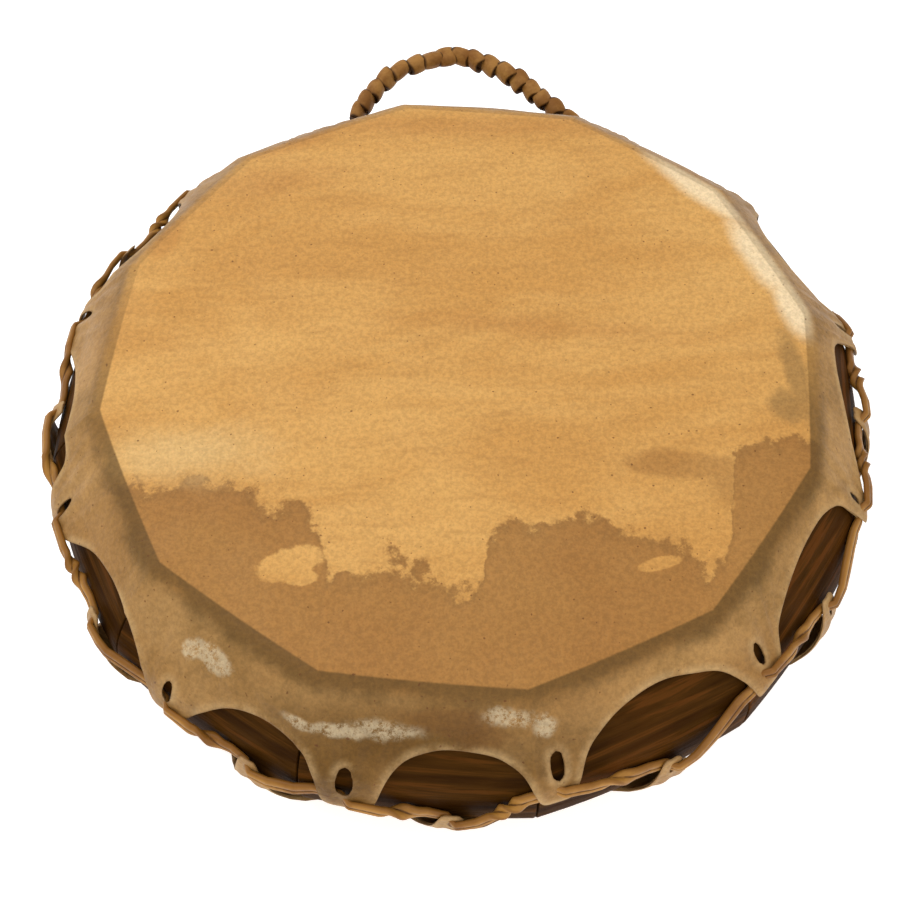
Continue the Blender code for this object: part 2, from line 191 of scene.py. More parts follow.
@dataclass(frozen=True)
class Tab:
    """One laced tongue of a skin. Lengths are millimetres, heights run from the ring to the rim."""

    azimuth: float
    tip: float
    lace: float
    hole_rise: float = 5.5
    hole_half_width: float = 2.6
    hole_half_height: float = 4.8
    hole_shift: float = 0.0
    half_width: float = 3.1


UPPER_TABS = (
    Tab(-155.0, 6.0, 14.8),
    Tab(-133.6, 9.0, 17.0),
    Tab(-104.0, 10.0, 18.0),
    Tab(-70.9, 11.0, 17.5, hole_rise=5.3, half_width=3.4),
    Tab(-39.9, 5.0, 10.5, hole_rise=7.1, hole_half_width=2.7, hole_half_height=4.4),
    Tab(-14.0, 1.8, 8.5, hole_rise=9.2, hole_half_width=3.6, hole_half_height=5.6, hole_shift=-0.2),
    Tab(11.8, 12.0, 18.0, hole_rise=8.5, hole_half_width=2.9, hole_half_height=4.6, hole_shift=0.2, half_width=2.7),
    Tab(42.3, 16.5, 22.5, hole_rise=6.9, hole_half_width=2.1, hole_half_height=3.6, hole_shift=0.3, half_width=3.2),
    Tab(71.5, 18.5, 22.5, hole_rise=5.2, hole_half_width=1.7, hole_half_height=2.8, half_width=2.4),
    Tab(101.4, 12.0, 19.0),
    Tab(131.0, -4.0, 4.0),
    Tab(153.5, 6.0, 14.8),
)
SKIRT_DEPTHS = (8.2, 5.2, 10.4, 14.2, 18.4, 16.2, 9.9, 9.4, 10.9, 9.2, 10.2, 10.2)
FRONT_ARCHES = {
    2: ((-99.6, 17.0), (-96.0, 25.0), (-91.0, 31.0), (-85.8, 34.0), (-80.0, 32.8), (-76.8, 28.9), (-75.0, 18.0)),
    3: ((-67.1, 17.7), (-62.3, 27.7), (-57.0, 31.4), (-52.4, 31.6), (-49.7, 29.5), (-45.6, 21.9), (-43.2, 12.4)),
    4: ((-36.9, 9.2), (-34.8, 17.8), (-31.3, 25.8), (-26.7, 29.1), (-22.2, 28.4), (-19.6, 25.1), (-17.8, 15.8),
        (-17.2, 6.6)),
    5: ((-10.7, 5.0), (-9.3, 19.4), (-7.4, 26.8), (-4.5, 30.5), (-1.4, 32.0), (3.3, 31.2), (5.8, 28.9), (7.9, 24.4),
        (9.1, 16.7)),
    6: ((14.6, 18.4), (16.2, 27.2), (19.9, 33.8), (24.2, 37.0), (28.6, 37.9), (32.7, 36.1), (36.6, 32.7),
        (39.2, 24.3)),
    7: ((45.8, 22.5), (47.7, 29.4), (52.0, 34.4), (57.6, 37.4), (63.3, 38.0), (66.4, 36.7), (68.3, 33.7),
        (69.2, 27.1)),
    8: ((74.3, 23.3), (82.2, 30.2), (88.9, 34.9), (92.9, 36.2), (96.2, 35.2), (98.2, 28.0)),
}
LOWER_TIP_REACH = 4.6
LOWER_LACE = (-2.0, 16.0, 21.0, 12.5, 6.0, -0.5, 5.0, 14.5, 21.0, -6.0, -8.0, -2.3)


def lower_tabs() -> tuple[Tab, ...]:
    """Tabs of the lower skin, halfway between the upper ones; their heights run downwards."""
    made = []
    for index, tab in enumerate(UPPER_TABS):
        following = UPPER_TABS[(index + 1) % len(UPPER_TABS)].azimuth
        middle = tab.azimuth + ((following - tab.azimuth) % FULL_TURN) / 2
        lace = LOWER_LACE[index]
        azimuth = float(wrap_turn(np.array(middle)))
        made.append(Tab(azimuth, -lace - LOWER_TIP_REACH, -lace, hole_rise=2.2, hole_half_width=1.6,
                        hole_half_height=2.4, half_width=1.9))
    return tuple(made)


@dataclass(frozen=True)
class Patch:
    """A stained or worn place: its middle, half sizes and turn about Z, and how ragged its edge is."""

    middle: tuple[float, float, float]
    sizes: tuple[float, float, float]
    turn: float = 0.0
    ragged: float = 0.5
    soft: float = 0.35


def head_patch(x: float, y: float, wide: float, deep: float, turn: float = 0.0,
               ragged: float = 0.5, soft: float = 0.35) -> Patch:
    """Patch on the flat head, given in millimetres."""
    return Patch((x * MM, y * MM, BARREL.height), (wide * MM, deep * MM, 0.02), turn, ragged, soft)


def skirt_patch(azimuth: float, height: float, wide: float, tall: float, ragged: float = 0.7,
                soft: float = 0.4) -> Patch:
    """Patch on the skirt at an azimuth and height, given in degrees and millimetres."""
    spot = np.array(azimuth), np.array(height * MM)
    middle = BARREL.place(spot[0], BARREL.radius(*spot), spot[1])
    return Patch(tuple(middle), (wide * MM, 0.02, tall * MM), azimuth, ragged, soft)


class Shading:
    """A material's node tree, built step by step from plain calls."""

    def __init__(self, name: str) -> None:
        """Start a material with one shader and the object's own coordinates."""
        self.material = bpy.data.materials.new(name)
        self.material.use_nodes = True
        self.tree = self.material.node_tree
        self.shader = self.tree.nodes["Principled BSDF"]
        self.coords = self.tree.nodes.new("ShaderNodeTexCoord").outputs["Object"]

    def feed(self, socket: bpy.types.NodeSocket, value: object) -> None:
        """Link a socket into another, or set a number or colour on it."""
        if isinstance(value, bpy.types.NodeSocket):
            self.tree.links.new(value, socket)
        elif isinstance(value, tuple) and len(value) == 3 and socket.type == "RGBA":
            socket.default_value = (*value, 1.0)
        else:
            socket.default_value = value

    def math(self, operation: str, first: object, second: object = 0.0) -> bpy.types.NodeSocket:
        """Result of a Math node."""
        node = self.tree.nodes.new("ShaderNodeMath")
        node.operation = operation
        self.feed(node.inputs[0], first)
        self.feed(node.inputs[1], second)
        return node.outputs[0]

    def scaled(self, value: object, factor: float, offset: float) -> bpy.types.NodeSocket:
        """A value times a factor, plus an offset."""
        node = self.tree.nodes.new("ShaderNodeMath")
        node.operation = "MULTIPLY_ADD"
        self.feed(node.inputs[0], value)
        node.inputs[1].default_value = factor
        node.inputs[2].default_value = offset
        return node.outputs[0]

    def stretched(self, scale: tuple[float, float, float], turn: float = 0.0) -> bpy.types.NodeSocket:
        """Object coordinates scaled along each axis and turned about Z."""
        node = self.tree.nodes.new("ShaderNodeMapping")
        node.vector_type = "TEXTURE"
        node.inputs["Scale"].default_value = tuple(1.0 / part for part in scale)
        node.inputs["Rotation"].default_value = (0.0, 0.0, math.radians(turn))
        self.tree.links.new(self.coords, node.inputs["Vector"])
        return node.outputs["Vector"]

    def noise(self, scale: float, detail: float = 4.0, roughness: float = 0.6, vector: object = None,
              distortion: float = 0.0) -> bpy.types.NodeSocket:
        """Noise between about 0.2 and 0.8."""
        node = self.tree.nodes.new("ShaderNodeTexNoise")
        node.inputs["Scale"].default_value = scale
        node.inputs["Detail"].default_value = detail
        node.inputs["Roughness"].default_value = roughness
        node.inputs["Distortion"].default_value = distortion
        self.tree.links.new(vector or self.coords, node.inputs["Vector"])
        return node.outputs["Fac"]

    def ramp(self, value: object, low: float, high: float, out_low: float = 0.0,
             out_high: float = 1.0) -> bpy.types.NodeSocket:
        """Smooth step of a value from one number to another; low may be above high."""
        node = self.tree.nodes.new("ShaderNodeMapRange")
        node.interpolation_type = "SMOOTHSTEP"
        backwards = low > high
        self.feed(node.inputs["Value"], value)
        node.inputs["From Min"].default_value = high if backwards else low
        node.inputs["From Max"].default_value = low if backwards else high
        node.inputs["To Min"].default_value = out_high if backwards else out_low
        node.inputs["To Max"].default_value = out_low if backwards else out_high
        return node.outputs["Result"]

    def mix(self, share: object, first: object, second: object, kind: str = "MIX") -> bpy.types.NodeSocket:
        """Colour between two colours."""
        node = self.tree.nodes.new("ShaderNodeMix")
        node.data_type = "RGBA"
        node.blend_type = kind
        self.feed(node.inputs[0], share)
        self.feed(node.inputs[6], first)
        self.feed(node.inputs[7], second)
        return node.outputs[2]

    def attribute(self, name: str) -> bpy.types.NodeSocket:
        """A number that is kept on the mesh."""
        node = self.tree.nodes.new("ShaderNodeAttribute")
        node.attribute_name = name
        return node.outputs["Fac"]

    def axis(self, index: int) -> bpy.types.NodeSocket:
        """One of the object's coordinates."""
        node = self.tree.nodes.new("ShaderNodeSeparateXYZ")
        self.tree.links.new(self.coords, node.inputs[0])
        return node.outputs[index]

    def patch(self, patch: Patch, unevenness: bpy.types.NodeSocket) -> bpy.types.NodeSocket:
        """Mask that is 1 inside a patch and 0 outside it."""
        node = self.tree.nodes.new("ShaderNodeMapping")
        node.vector_type = "TEXTURE"
        node.inputs["Location"].default_value = patch.middle
        node.inputs["Rotation"].default_value = (0.0, 0.0, math.radians(patch.turn))
        node.inputs["Scale"].default_value = patch.sizes
        self.tree.links.new(self.coords, node.inputs["Vector"])
        length = self.tree.nodes.new("ShaderNodeVectorMath")
        length.operation = "LENGTH"
        self.tree.links.new(node.outputs["Vector"], length.inputs[0])
        shaken = self.scaled(unevenness, 2.0 * patch.ragged, -patch.ragged)
        reach = self.math("ADD", length.outputs["Value"], shaken)
        return self.ramp(reach, 1.0 + patch.soft, 1.0 - patch.soft)

    def patches(self, group: tuple[Patch, ...], unevenness: bpy.types.NodeSocket) -> bpy.types.NodeSocket:
        """Mask of several patches together."""
        total = self.patch(group[0], unevenness)
        for patch in group[1:]:
            total = self.math("MAXIMUM", total, self.patch(patch, unevenness))
        return total

    def boundary(self, line: Table, low: float, high: float) -> bpy.types.NodeSocket:
        """Height of a line drawn over X, as metres along Y.

        Args:
            line: corners of the line in millimetres, in the order of X.
            low: lowest Y in millimetres.
            high: highest Y in millimetres.

        Returns:
            The line's Y at each point of the surface.
        """
        left, right = line[0][0], line[-1][0]
        node = self.tree.nodes.new("ShaderNodeFloatCurve")
        curve = node.mapping.curves[0]
        spots = [((x - left) / (right - left), (y - low) / (high - low)) for x, y in line]
        curve.points[0].location, curve.points[1].location = spots[0], spots[-1]
        for spot in spots[1:-1]:
            curve.points.new(*spot)
        for point in curve.points:
            point.handle_type = "VECTOR"
        node.mapping.update()
        across = self.math("DIVIDE", self.math("SUBTRACT", self.axis(0), left * MM), (right - left) * MM)
        self.feed(node.inputs["Value"], across)
        return self.scaled(node.outputs["Value"], (high - low) * MM, low * MM)

    def relief(self, height: object, depth: float, normal: object = None) -> bpy.types.NodeSocket:
        """Bump of a height field, on top of another bump."""
        node = self.tree.nodes.new("ShaderNodeBump")
        node.inputs["Distance"].default_value = depth
        self.feed(node.inputs["Height"], height)
        if normal is not None:
            self.feed(node.inputs["Normal"], normal)
        return node.outputs["Normal"]

    def dress(self, colour: object, roughness: object, normal: object) -> bpy.types.Material:
        """Give the shader its colour, roughness and bump, and hand out the material."""
        self.feed(self.shader.inputs["Base Color"], colour)
        self.feed(self.shader.inputs["Roughness"], roughness)
        self.feed(self.shader.inputs["Normal"], normal)
        return self.material


PALE_LINE = (
    (-193.6, -54.0), (-153.6, -56.0), (-135.6, -65.0), (-113.6, -67.0), (-91.6, -67.0), (-69.6, -72.0),
    (-60.6, -86.0), (-54.6, -105.0), (-33.6, -100.0), (-16.6, -110.0), (-0.6, -112.0), (9.4, -104.0),
    (12.4, -84.0), (25.4, -81.0), (43.4, -83.0), (60.4, -81.0), (77.4, -86.0), (93.4, -100.0), (102.4, -106.0),
    (112.4, -99.0), (117.4, -76.0), (121.4, -48.0), (136.4, -45.0), (186.4, -45.0),
)


ISLANDS = (
    head_patch(-71.6, -102.0, 16.0, 7.5, 20.0, 0.8, 0.3), head_patch(-67.6, -108.0, 8.0, 4.0, 0.0, 0.8),
    head_patch(84.4, -102.0, 9.0, 3.0, 15.0, 0.7), head_patch(110.4, -74.0, 9.0, 4.0, 10.0, 0.7),
)
INLETS = (
    head_patch(100.4, -53.0, 30.0, 7.0, -4.0, 0.7, 0.3), head_patch(130.4, -62.0, 22.0, 14.0, 0.0, 0.6),
)
BROWN_CLOUDS = (
    head_patch(-143.6, 77.0, 7.0, 14.0, -25.0), head_patch(-83.6, 144.0, 26.0, 6.0, 20.0, 0.8, 0.8),
    head_patch(-99.6, 115.0, 30.0, 8.0, 12.0, 0.9, 0.9), head_patch(139.4, 93.0, 10.0, 4.0, -60.0),
    head_patch(6.4, 154.0, 70.0, 6.0, 0.0, 0.9, 0.9), head_patch(36.4, 24.0, 60.0, 5.0, -5.0, 1.0, 1.0),
)
SMUDGES = (
    head_patch(154.4, -4.0, 6.0, 22.0, 6.0, 0.7), head_patch(148.4, -20.0, 8.0, 10.0, 0.0, 0.8),
)
# Painted highlight: pale cream patches near the right rim of the head stand in for light catching the rim.
PAINTED_RIM_HIGHLIGHT = (
    head_patch(120.4, 112.0, 34.0, 7.0, -46.0, 0.4, 0.5), head_patch(146.4, 66.0, 26.0, 8.0, -66.0, 0.4, 0.5),
    head_patch(158.4, 38.0, 20.0, 7.0, -76.0, 0.4, 0.5),
)
FADED = (head_patch(-121.6, -46.0, 34.0, 12.0, 0.0, 0.8, 0.8),)
# Painted shade: the front of the skirt is darkened to stand in for the shade that falls there.
PAINTED_FRONT_SHADE = (
    skirt_patch(-6.0, 33.0, 62.0, 13.0, 0.8, 0.9), skirt_patch(-16.0, 20.0, 20.0, 22.0, 0.8, 0.9),
)
# Painted light: lighter patches on the sides of the skirt stand in for light falling there.
PAINTED_SIDE_LIGHT = (
    skirt_patch(33.0, 41.0, 34.0, 6.0, 0.8, 0.9), skirt_patch(80.0, 36.0, 80.0, 16.0, 0.8, 0.9),
    skirt_patch(-84.0, 36.0, 50.0, 11.0, 0.8, 0.9),
)
STREAKS = (
    skirt_patch(-16.0, 35.8, 13.0, 2.2, 1.0), skirt_patch(-9.8, 37.6, 16.0, 3.4, 1.1),
    skirt_patch(6.6, 42.8, 10.0, 3.2, 1.1), skirt_patch(11.0, 40.6, 6.0, 3.2, 0.9),
    skirt_patch(-35.8, 37.8, 9.0, 2.6, 1.3), skirt_patch(-39.4, 35.9, 4.0, 2.4, 1.2),
    skirt_patch(-20.6, 35.4, 9.0, 1.8, 1.2),
)
UMBER = (
    skirt_patch(-3.0, 41.0, 22.0, 3.4, 1.0), skirt_patch(3.5, 37.5, 12.0, 4.0, 0.9),
)
FOLDS = (
    skirt_patch(-34.6, 20.0, 3.5, 12.0, 0.3, 0.9), skirt_patch(-30.5, 31.0, 8.0, 5.0, 0.3, 0.9),
    skirt_patch(-21.0, 37.0, 18.0, 2.6, 0.3, 0.9), skirt_patch(-8.0, 40.5, 24.0, 2.4, 0.3, 0.9),
    skirt_patch(9.2, 24.0, 3.0, 12.0, 0.3, 0.9), skirt_patch(5.5, 35.5, 9.0, 3.5, 0.3, 0.9),
)


@dataclass(frozen=True)
class HideTextures:
    """Unevenness and kept distances that all the colours of one hide share."""

    ragged: bpy.types.NodeSocket
    coast: bpy.types.NodeSocket
    clouds: bpy.types.NodeSocket
    fibres: bpy.types.NodeSocket
    grain: bpy.types.NodeSocket
    pores: bpy.types.NodeSocket
    crease: bpy.types.NodeSocket
    edge: bpy.types.NodeSocket


@dataclass(frozen=True)
class RawhideFinish:
    """Scraped rawhide of a skin: cloudy tan head with a painted highlight near its right rim, olive skirt with painted
    shade at the front and painted light on the sides, stains, rubbed places and fine grain.
    """

    name: str
    golden: Colour = linear(204, 155, 87)
    cloud: Colour = linear(191, 139, 72)
    tanned: Colour = linear(151, 104, 51)
    warm: Colour = linear(158, 112, 57)
    brown: Colour = linear(168, 112, 54)
    smudge: Colour = linear(132, 100, 56)
    stain: Colour = linear(96, 70, 38)
    pale: Colour = linear(212, 178, 120)
    rim_highlight: Colour = linear(236, 216, 178)
    skirt: Colour = linear(160, 122, 72)
    skirt_brown: Colour = linear(148, 108, 58)
    skirt_dark: Colour = linear(112, 80, 34)
    front_painted_shade: Colour = linear(92, 62, 18)
    side_painted_light: Colour = linear(182, 140, 84)
    worn_edge: Colour = linear(192, 160, 112)
    cut_edge: Colour = linear(110, 78, 42)
    olive: Colour = linear(92, 66, 28)
    umber: Colour = linear(104, 66, 26)
    rubbed: Colour = linear(200, 182, 148)
    speck: Colour = linear(92, 52, 24)
    specular: float = 0.16
    glow: float = 0.04
    lower_side: bool = False

    def textures(self, made: Shading) -> HideTextures:
        """Set up the noises and the distances from the crease and the cut edge."""
        return HideTextures(
            ragged=made.noise(38.0, 6.0, 0.68),
            coast=made.noise(55.0, 8.0, 0.72),
            clouds=made.noise(9.0, 5.0, 0.55, made.stretched((1.0, 2.6, 1.0), 8.0), 0.6),
            fibres=made.noise(60.0, 5.0, 0.7, made.stretched((0.5, 3.0, 1.0), 4.0)),
            grain=made.noise(900.0, 3.0, 0.65),
            pores=made.noise(420.0, 2.0, 0.5),
            crease=made.attribute("crease"),
            edge=made.attribute("edge"),
        )

    def tanned_field(self, made: Shading, hide: HideTextures, head: bpy.types.NodeSocket) -> bpy.types.NodeSocket:
        """Lay the tan field with its ragged border over the front of the head.

        Args:
            made: the material being built.
            hide: the shared textures.
            head: colour of the head so far.

        Returns:
            The colour with the field on it.
        """
        line = made.boundary(PALE_LINE, -120.0, -40.0)
        shaken = made.scaled(made.noise(30.0, 3.0, 0.6), 44.0 * MM, -22.0 * MM)
        shaken = made.math("ADD", shaken, made.scaled(hide.coast, 46.0 * MM, -23.0 * MM))
        below = made.math("SUBTRACT", line, made.math("ADD", made.axis(1), shaken))
        islands = made.ramp(made.patches(ISLANDS, hide.coast), 0.2, 0.8, 1.0, 0.0)
        inlets = made.math("MULTIPLY", made.patches(INLETS, hide.coast), 0.62)
        field = made.math("MULTIPLY", made.ramp(below, -3.2 * MM, 3.0 * MM), islands)
        field = made.math("MAXIMUM", field, inlets)
        warm = made.mix(made.ramp(made.noise(14.0, 4.0), 0.35, 0.7), self.tanned, self.warm)
        head = made.mix(made.math("MULTIPLY", field, 0.93), head, warm)
        shore = made.math("MULTIPLY", made.ramp(below, 9.0 * MM, 0.5 * MM), made.ramp(below, -1.0 * MM, 1.0 * MM))
        return made.mix(made.math("MULTIPLY", shore, 0.22), head, self.stain)

    def head(self, made: Shading, hide: HideTextures) -> bpy.types.NodeSocket:
        """Colour of the flat head, with a painted highlight near its right rim."""
        head = made.mix(made.ramp(hide.clouds, 0.32, 0.66), self.golden, self.cloud)
        head = made.mix(made.ramp(hide.fibres, 0.46, 0.72, 0.0, 0.22), head, self.tanned)
        head = self.tanned_field(made, hide, head)
        # Among these, the rim patches paint a cream highlight near the right rim of the head.
        for places, strength, colour in (
            (BROWN_CLOUDS, 0.38, self.brown), (SMUDGES, 0.6, self.smudge), (PAINTED_RIM_HIGHLIGHT, 0.72, self.rim_highlight),
            (FADED, 0.55, self.pale),
        ):
            head = made.mix(made.math("MULTIPLY", made.patches(places, hide.ragged), strength), head, colour)
        return head

    def hanging_skirt(self, made: Shading, hide: HideTextures) -> bpy.types.NodeSocket:
        """Colour of the skirt below the crease, with painted shade at the front and painted light on the sides."""
        worn = made.mix(made.ramp(hide.clouds, 0.3, 0.68), self.skirt, self.skirt_brown)
        # Paint shade onto the front of the skirt and light onto its sides.
        for places, strength, colour in ((PAINTED_FRONT_SHADE, 0.95, self.front_painted_shade), (PAINTED_SIDE_LIGHT, 0.62, self.side_painted_light)):
            worn = made.mix(made.math("MULTIPLY", made.patches(places, hide.ragged), strength), worn, colour)
        worn = made.mix(made.ramp(made.noise(24.0, 6.0, 0.7), 0.44, 0.7, 0.0, 0.55), worn, self.skirt_dark)
        rim = made.math("MULTIPLY", made.ramp(hide.edge, 5.0 * MM, 0.4 * MM, 0.0, 0.5),
                        made.ramp(hide.ragged, 0.35, 0.6))
        return made.mix(rim, worn, self.worn_edge)

    def crease_band(self, made: Shading, hide: HideTextures, colour: bpy.types.NodeSocket) -> bpy.types.NodeSocket:
        """Darken the skirt in an uneven band under the crease, most of all at the front."""
        uneven = made.math("ADD", hide.crease, made.scaled(hide.ragged, 16.0 * MM, -8.0 * MM))
        band = made.math("MULTIPLY", made.ramp(hide.crease, -2.2 * MM, 0.4 * MM),
                         made.ramp(uneven, 11.0 * MM, 2.0 * MM))
        front = made.ramp(made.axis(1), 60.0 * MM, -60.0 * MM, 0.3, 0.8)
        return made.mix(made.math("MULTIPLY", band, front), colour, self.olive)

    def wear(self, made: Shading, hide: HideTextures, colour: bpy.types.NodeSocket) -> bpy.types.NodeSocket:
        """Flaky rubbed streaks and the umber between them."""
        streaks = made.patches(STREAKS, hide.ragged)
        flakes = made.ramp(made.noise(240.0, 7.0, 0.85), 0.40, 0.54)
        rubbed = made.math("MULTIPLY", made.ramp(streaks, 0.0, 1.3), flakes)
        colour = made.mix(made.math("MULTIPLY", rubbed, 0.68), colour, self.rubbed)
        return made.mix(made.math("MULTIPLY", made.patches(UMBER, hide.ragged), 0.45), colour, self.umber)

    def fine_marks(self, made: Shading, hide: HideTextures, colour: bpy.types.NodeSocket) -> bpy.types.NodeSocket:
        """Dark cut edge, small specks and mottled grain."""
        colour = made.mix(made.ramp(hide.edge, 1.3 * MM, 0.1 * MM, 0.0, 0.45), colour, self.cut_edge)
        specks = made.ramp(made.noise(560.0, 0.0, 0.4), 0.80, 0.86)
        colour = made.mix(made.math("MULTIPLY", specks, 0.7), colour, self.speck)
        fine = made.math("ADD", made.math("MULTIPLY", hide.grain, 0.5), made.math("MULTIPLY", hide.pores, 0.5))
        mottled = made.ramp(fine, 0.36, 0.64, 0.86, 1.10)
        tone = made.tree.nodes.new("ShaderNodeCombineColor")
        for socket in tone.inputs:
            made.tree.links.new(mottled, socket)
        return made.mix(1.0, colour, tone.outputs[0], "MULTIPLY")

    def surface(self, made: Shading, hide: HideTextures) -> bpy.types.NodeSocket:
        """Bumps of the folds, clouds, pores and grain."""
        normal = made.relief(made.patches(FOLDS, hide.ragged), 0.0 if self.lower_side else 1.6 * MM)
        normal = made.relief(made.ramp(hide.clouds, 0.2, 0.8), 0.5 * MM, normal)
        normal = made.relief(hide.pores, 0.35 * MM, normal)
        return made.relief(hide.grain, 0.16 * MM, normal)

    def material(self) -> bpy.types.Material:
        """Build the material."""
        made = Shading(self.name)
        hide = self.textures(made)
        below_crease = made.ramp(hide.crease, 1.0 * MM, 7.0 * MM)
        colour = made.mix(below_crease, self.head(made, hide), self.hanging_skirt(made, hide))
        colour = self.crease_band(made, hide, colour)
        if not self.lower_side:
            colour = self.wear(made, hide, colour)
        colour = self.fine_marks(made, hide, colour)
        roughness = made.ramp(hide.ragged, 0.3, 0.7, 0.46, 0.62)
        made.shader.inputs["Specular IOR Level"].default_value = self.specular
        made.shader.inputs["Subsurface Weight"].default_value = self.glow
        made.shader.inputs["Subsurface Radius"].default_value = (0.004, 0.002, 0.001)
        made.shader.inputs["Subsurface Scale"].default_value = 0.5
        return made.dress(colour, roughness, self.surface(made, hide))


@dataclass(frozen=True)
class WoodFinish:
    """Dark oiled wood, its grain running round the ring, with reddish veins."""

    name: str
    dark: Colour = linear(42, 21, 2)
    middle: Colour = linear(70, 43, 9)
    red: Colour = linear(98, 54, 18)

    def material(self, azimuth: float, red_share: float) -> bpy.types.Material:
        """Build the material for the stave at an azimuth.

        Args:
            azimuth: middle of the stave, so that the grain runs along it.
            red_share: how reddish the board is.

        Returns:
            The material.
        """
        made = Shading(self.name)
        along = made.stretched((5.0, 70.0, 70.0), azimuth)
        flow = made.noise(1.5, 5.0, 0.6, along, 0.5)
        fibres = made.noise(8.0, 5.0, 0.7, along, 0.2)
        cloud = made.noise(22.0, 4.0, 0.6)
        colour = made.mix(made.ramp(flow, 0.34, 0.68), self.dark, self.middle)
        colour = made.mix(made.ramp(fibres, 0.5, 0.7, 0.0, 0.5), colour, self.dark)
        veins = made.math("MULTIPLY", made.ramp(flow, 0.54, 0.6), made.ramp(flow, 0.68, 0.61))
        colour = made.mix(made.math("MULTIPLY", veins, 0.25 + 0.5 * red_share), colour, self.red)
        colour = made.mix(made.math("MULTIPLY", made.ramp(cloud, 0.4, 0.7), 0.35 * red_share), colour, self.red)
        roughness = made.ramp(fibres, 0.3, 0.7, 0.5, 0.68)
        made.shader.inputs["Specular IOR Level"].default_value = 0.02
        normal = made.relief(flow, 0.5 * MM)
        normal = made.relief(fibres, 0.25 * MM, normal)
        return made.dress(colour, roughness, normal)


@dataclass(frozen=True)
class LaceFinish:
    """Cut rawhide thong: a golden middle, darker orange edges and a dark line along it."""

    name: str
    golden: Colour = linear(164, 116, 50)
    edge: Colour = linear(122, 78, 27)
    line: Colour = linear(76, 44, 14)
    pale: Colour = linear(184, 144, 84)

    def material(self) -> bpy.types.Material:
        """Build the material."""
        made = Shading(self.name)
        across = made.math("ABSOLUTE", made.attribute("across"))
        tone = made.noise(34.0, 5.0, 0.65)
        scuff = made.noise(160.0, 4.0, 0.7)
        colour = made.mix(made.ramp(tone, 0.36, 0.66), self.golden, self.edge)
        colour = made.mix(made.ramp(tone, 0.62, 0.74, 0.0, 0.6), colour, self.pale)
        colour = made.mix(made.ramp(across, 0.62, 1.0, 0.0, 0.75), colour, self.edge)
        strand = made.math("ABSOLUTE", made.attribute("across"))
        line = made.math("MULTIPLY", made.ramp(strand, 0.2, 0.04), made.ramp(scuff, 0.38, 0.56, 0.3, 0.9))
        colour = made.mix(line, colour, self.line)
        roughness = made.ramp(scuff, 0.3, 0.7, 0.36, 0.55)
        made.shader.inputs["Specular IOR Level"].default_value = 0.2
        normal = made.relief(made.ramp(strand, 0.02, 0.2), 0.3 * MM)
        normal = made.relief(scuff, 0.15 * MM, normal)
        return made.dress(colour, roughness, normal)


@dataclass(frozen=True)
class GripFinish:
    """Wrapped rawhide of the handle: tan turns, with painted shade in the crevices between them."""

    name: str
    tan: Colour = linear(158, 112, 54)
    brown: Colour = linear(124, 80, 32)
    crevice_shade: Colour = linear(60, 36, 14)

    def material(self) -> bpy.types.Material:
        """Build the material."""
        made = Shading(self.name)
        tone = made.noise(70.0, 5.0, 0.65)
        wrinkles = made.noise(260.0, 4.0, 0.7, made.stretched((1.0, 2.2, 1.0)))
        depth = made.attribute("depth")
        colour = made.mix(made.ramp(tone, 0.36, 0.64), self.tan, self.brown)
        colour = made.mix(made.ramp(wrinkles, 0.5, 0.72, 0.0, 0.5), colour, self.brown)
        # Painted shade: the colour is darkened where the wrap lies deep in the crevices between turns.
        shaken = made.math("ADD", depth, made.math("MULTIPLY", made.math("SUBTRACT", tone, 0.5), 0.5))
        colour = made.mix(made.ramp(shaken, 0.62, 0.18, 0.0, 0.9), colour, self.crevice_shade)
        roughness = made.ramp(tone, 0.3, 0.7, 0.45, 0.62)
        made.shader.inputs["Specular IOR Level"].default_value = 0.15
        normal = made.relief(tone, 0.6 * MM)
        normal = made.relief(wrinkles, 0.25 * MM, normal)
        return made.dress(colour, roughness, normal)


def new_object(name: str, mesh: bpy.types.Mesh) -> bpy.types.Object:
    """Put a mesh into the scene as an object."""
    item = bpy.data.objects.new(name, mesh)
    bpy.context.scene.collection.objects.link(item)
    return item


def settle(item: bpy.types.Object) -> bpy.types.Object:
    """Turn an object's modifiers into plain mesh and remove them."""
    graph = bpy.context.evaluated_depsgraph_get()
    mesh = bpy.data.meshes.new_from_object(item.evaluated_get(graph), preserve_all_data_layers=True, depsgraph=graph)
    item.modifiers.clear()
    item.data = mesh
    return item


def keep_number(mesh: bpy.types.Mesh, name: str, values: np.ndarray) -> None:
    """Keep one number for each vertex as an attribute."""
    layer = mesh.attributes.new(name, "FLOAT", "POINT")
    layer.data.foreach_set("value", np.ascontiguousarray(values, np.float32).ravel())


def keep_vector(mesh: bpy.types.Mesh, name: str, values: np.ndarray) -> None:
    """Keep one vector for each vertex as an attribute."""
    layer = mesh.attributes.new(name, "FLOAT_VECTOR", "POINT")
    layer.data.foreach_set("vector", np.ascontiguousarray(values, np.float32).ravel())


def finish_piece(item: bpy.types.Object, material: bpy.types.Material | None,
                 nodes: tuple[str, ...]) -> bpy.types.Object:
    """Dress a piece and body, and let it stand for its CAD nodes."""
    if material is not None:
        item.data.materials.clear()
        item.data.materials.append(material)
    if nodes:
        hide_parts(*nodes)
    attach(item, BODY)
    log.info("%s: %d faces", item.name, len(item.data.polygons))
    return item


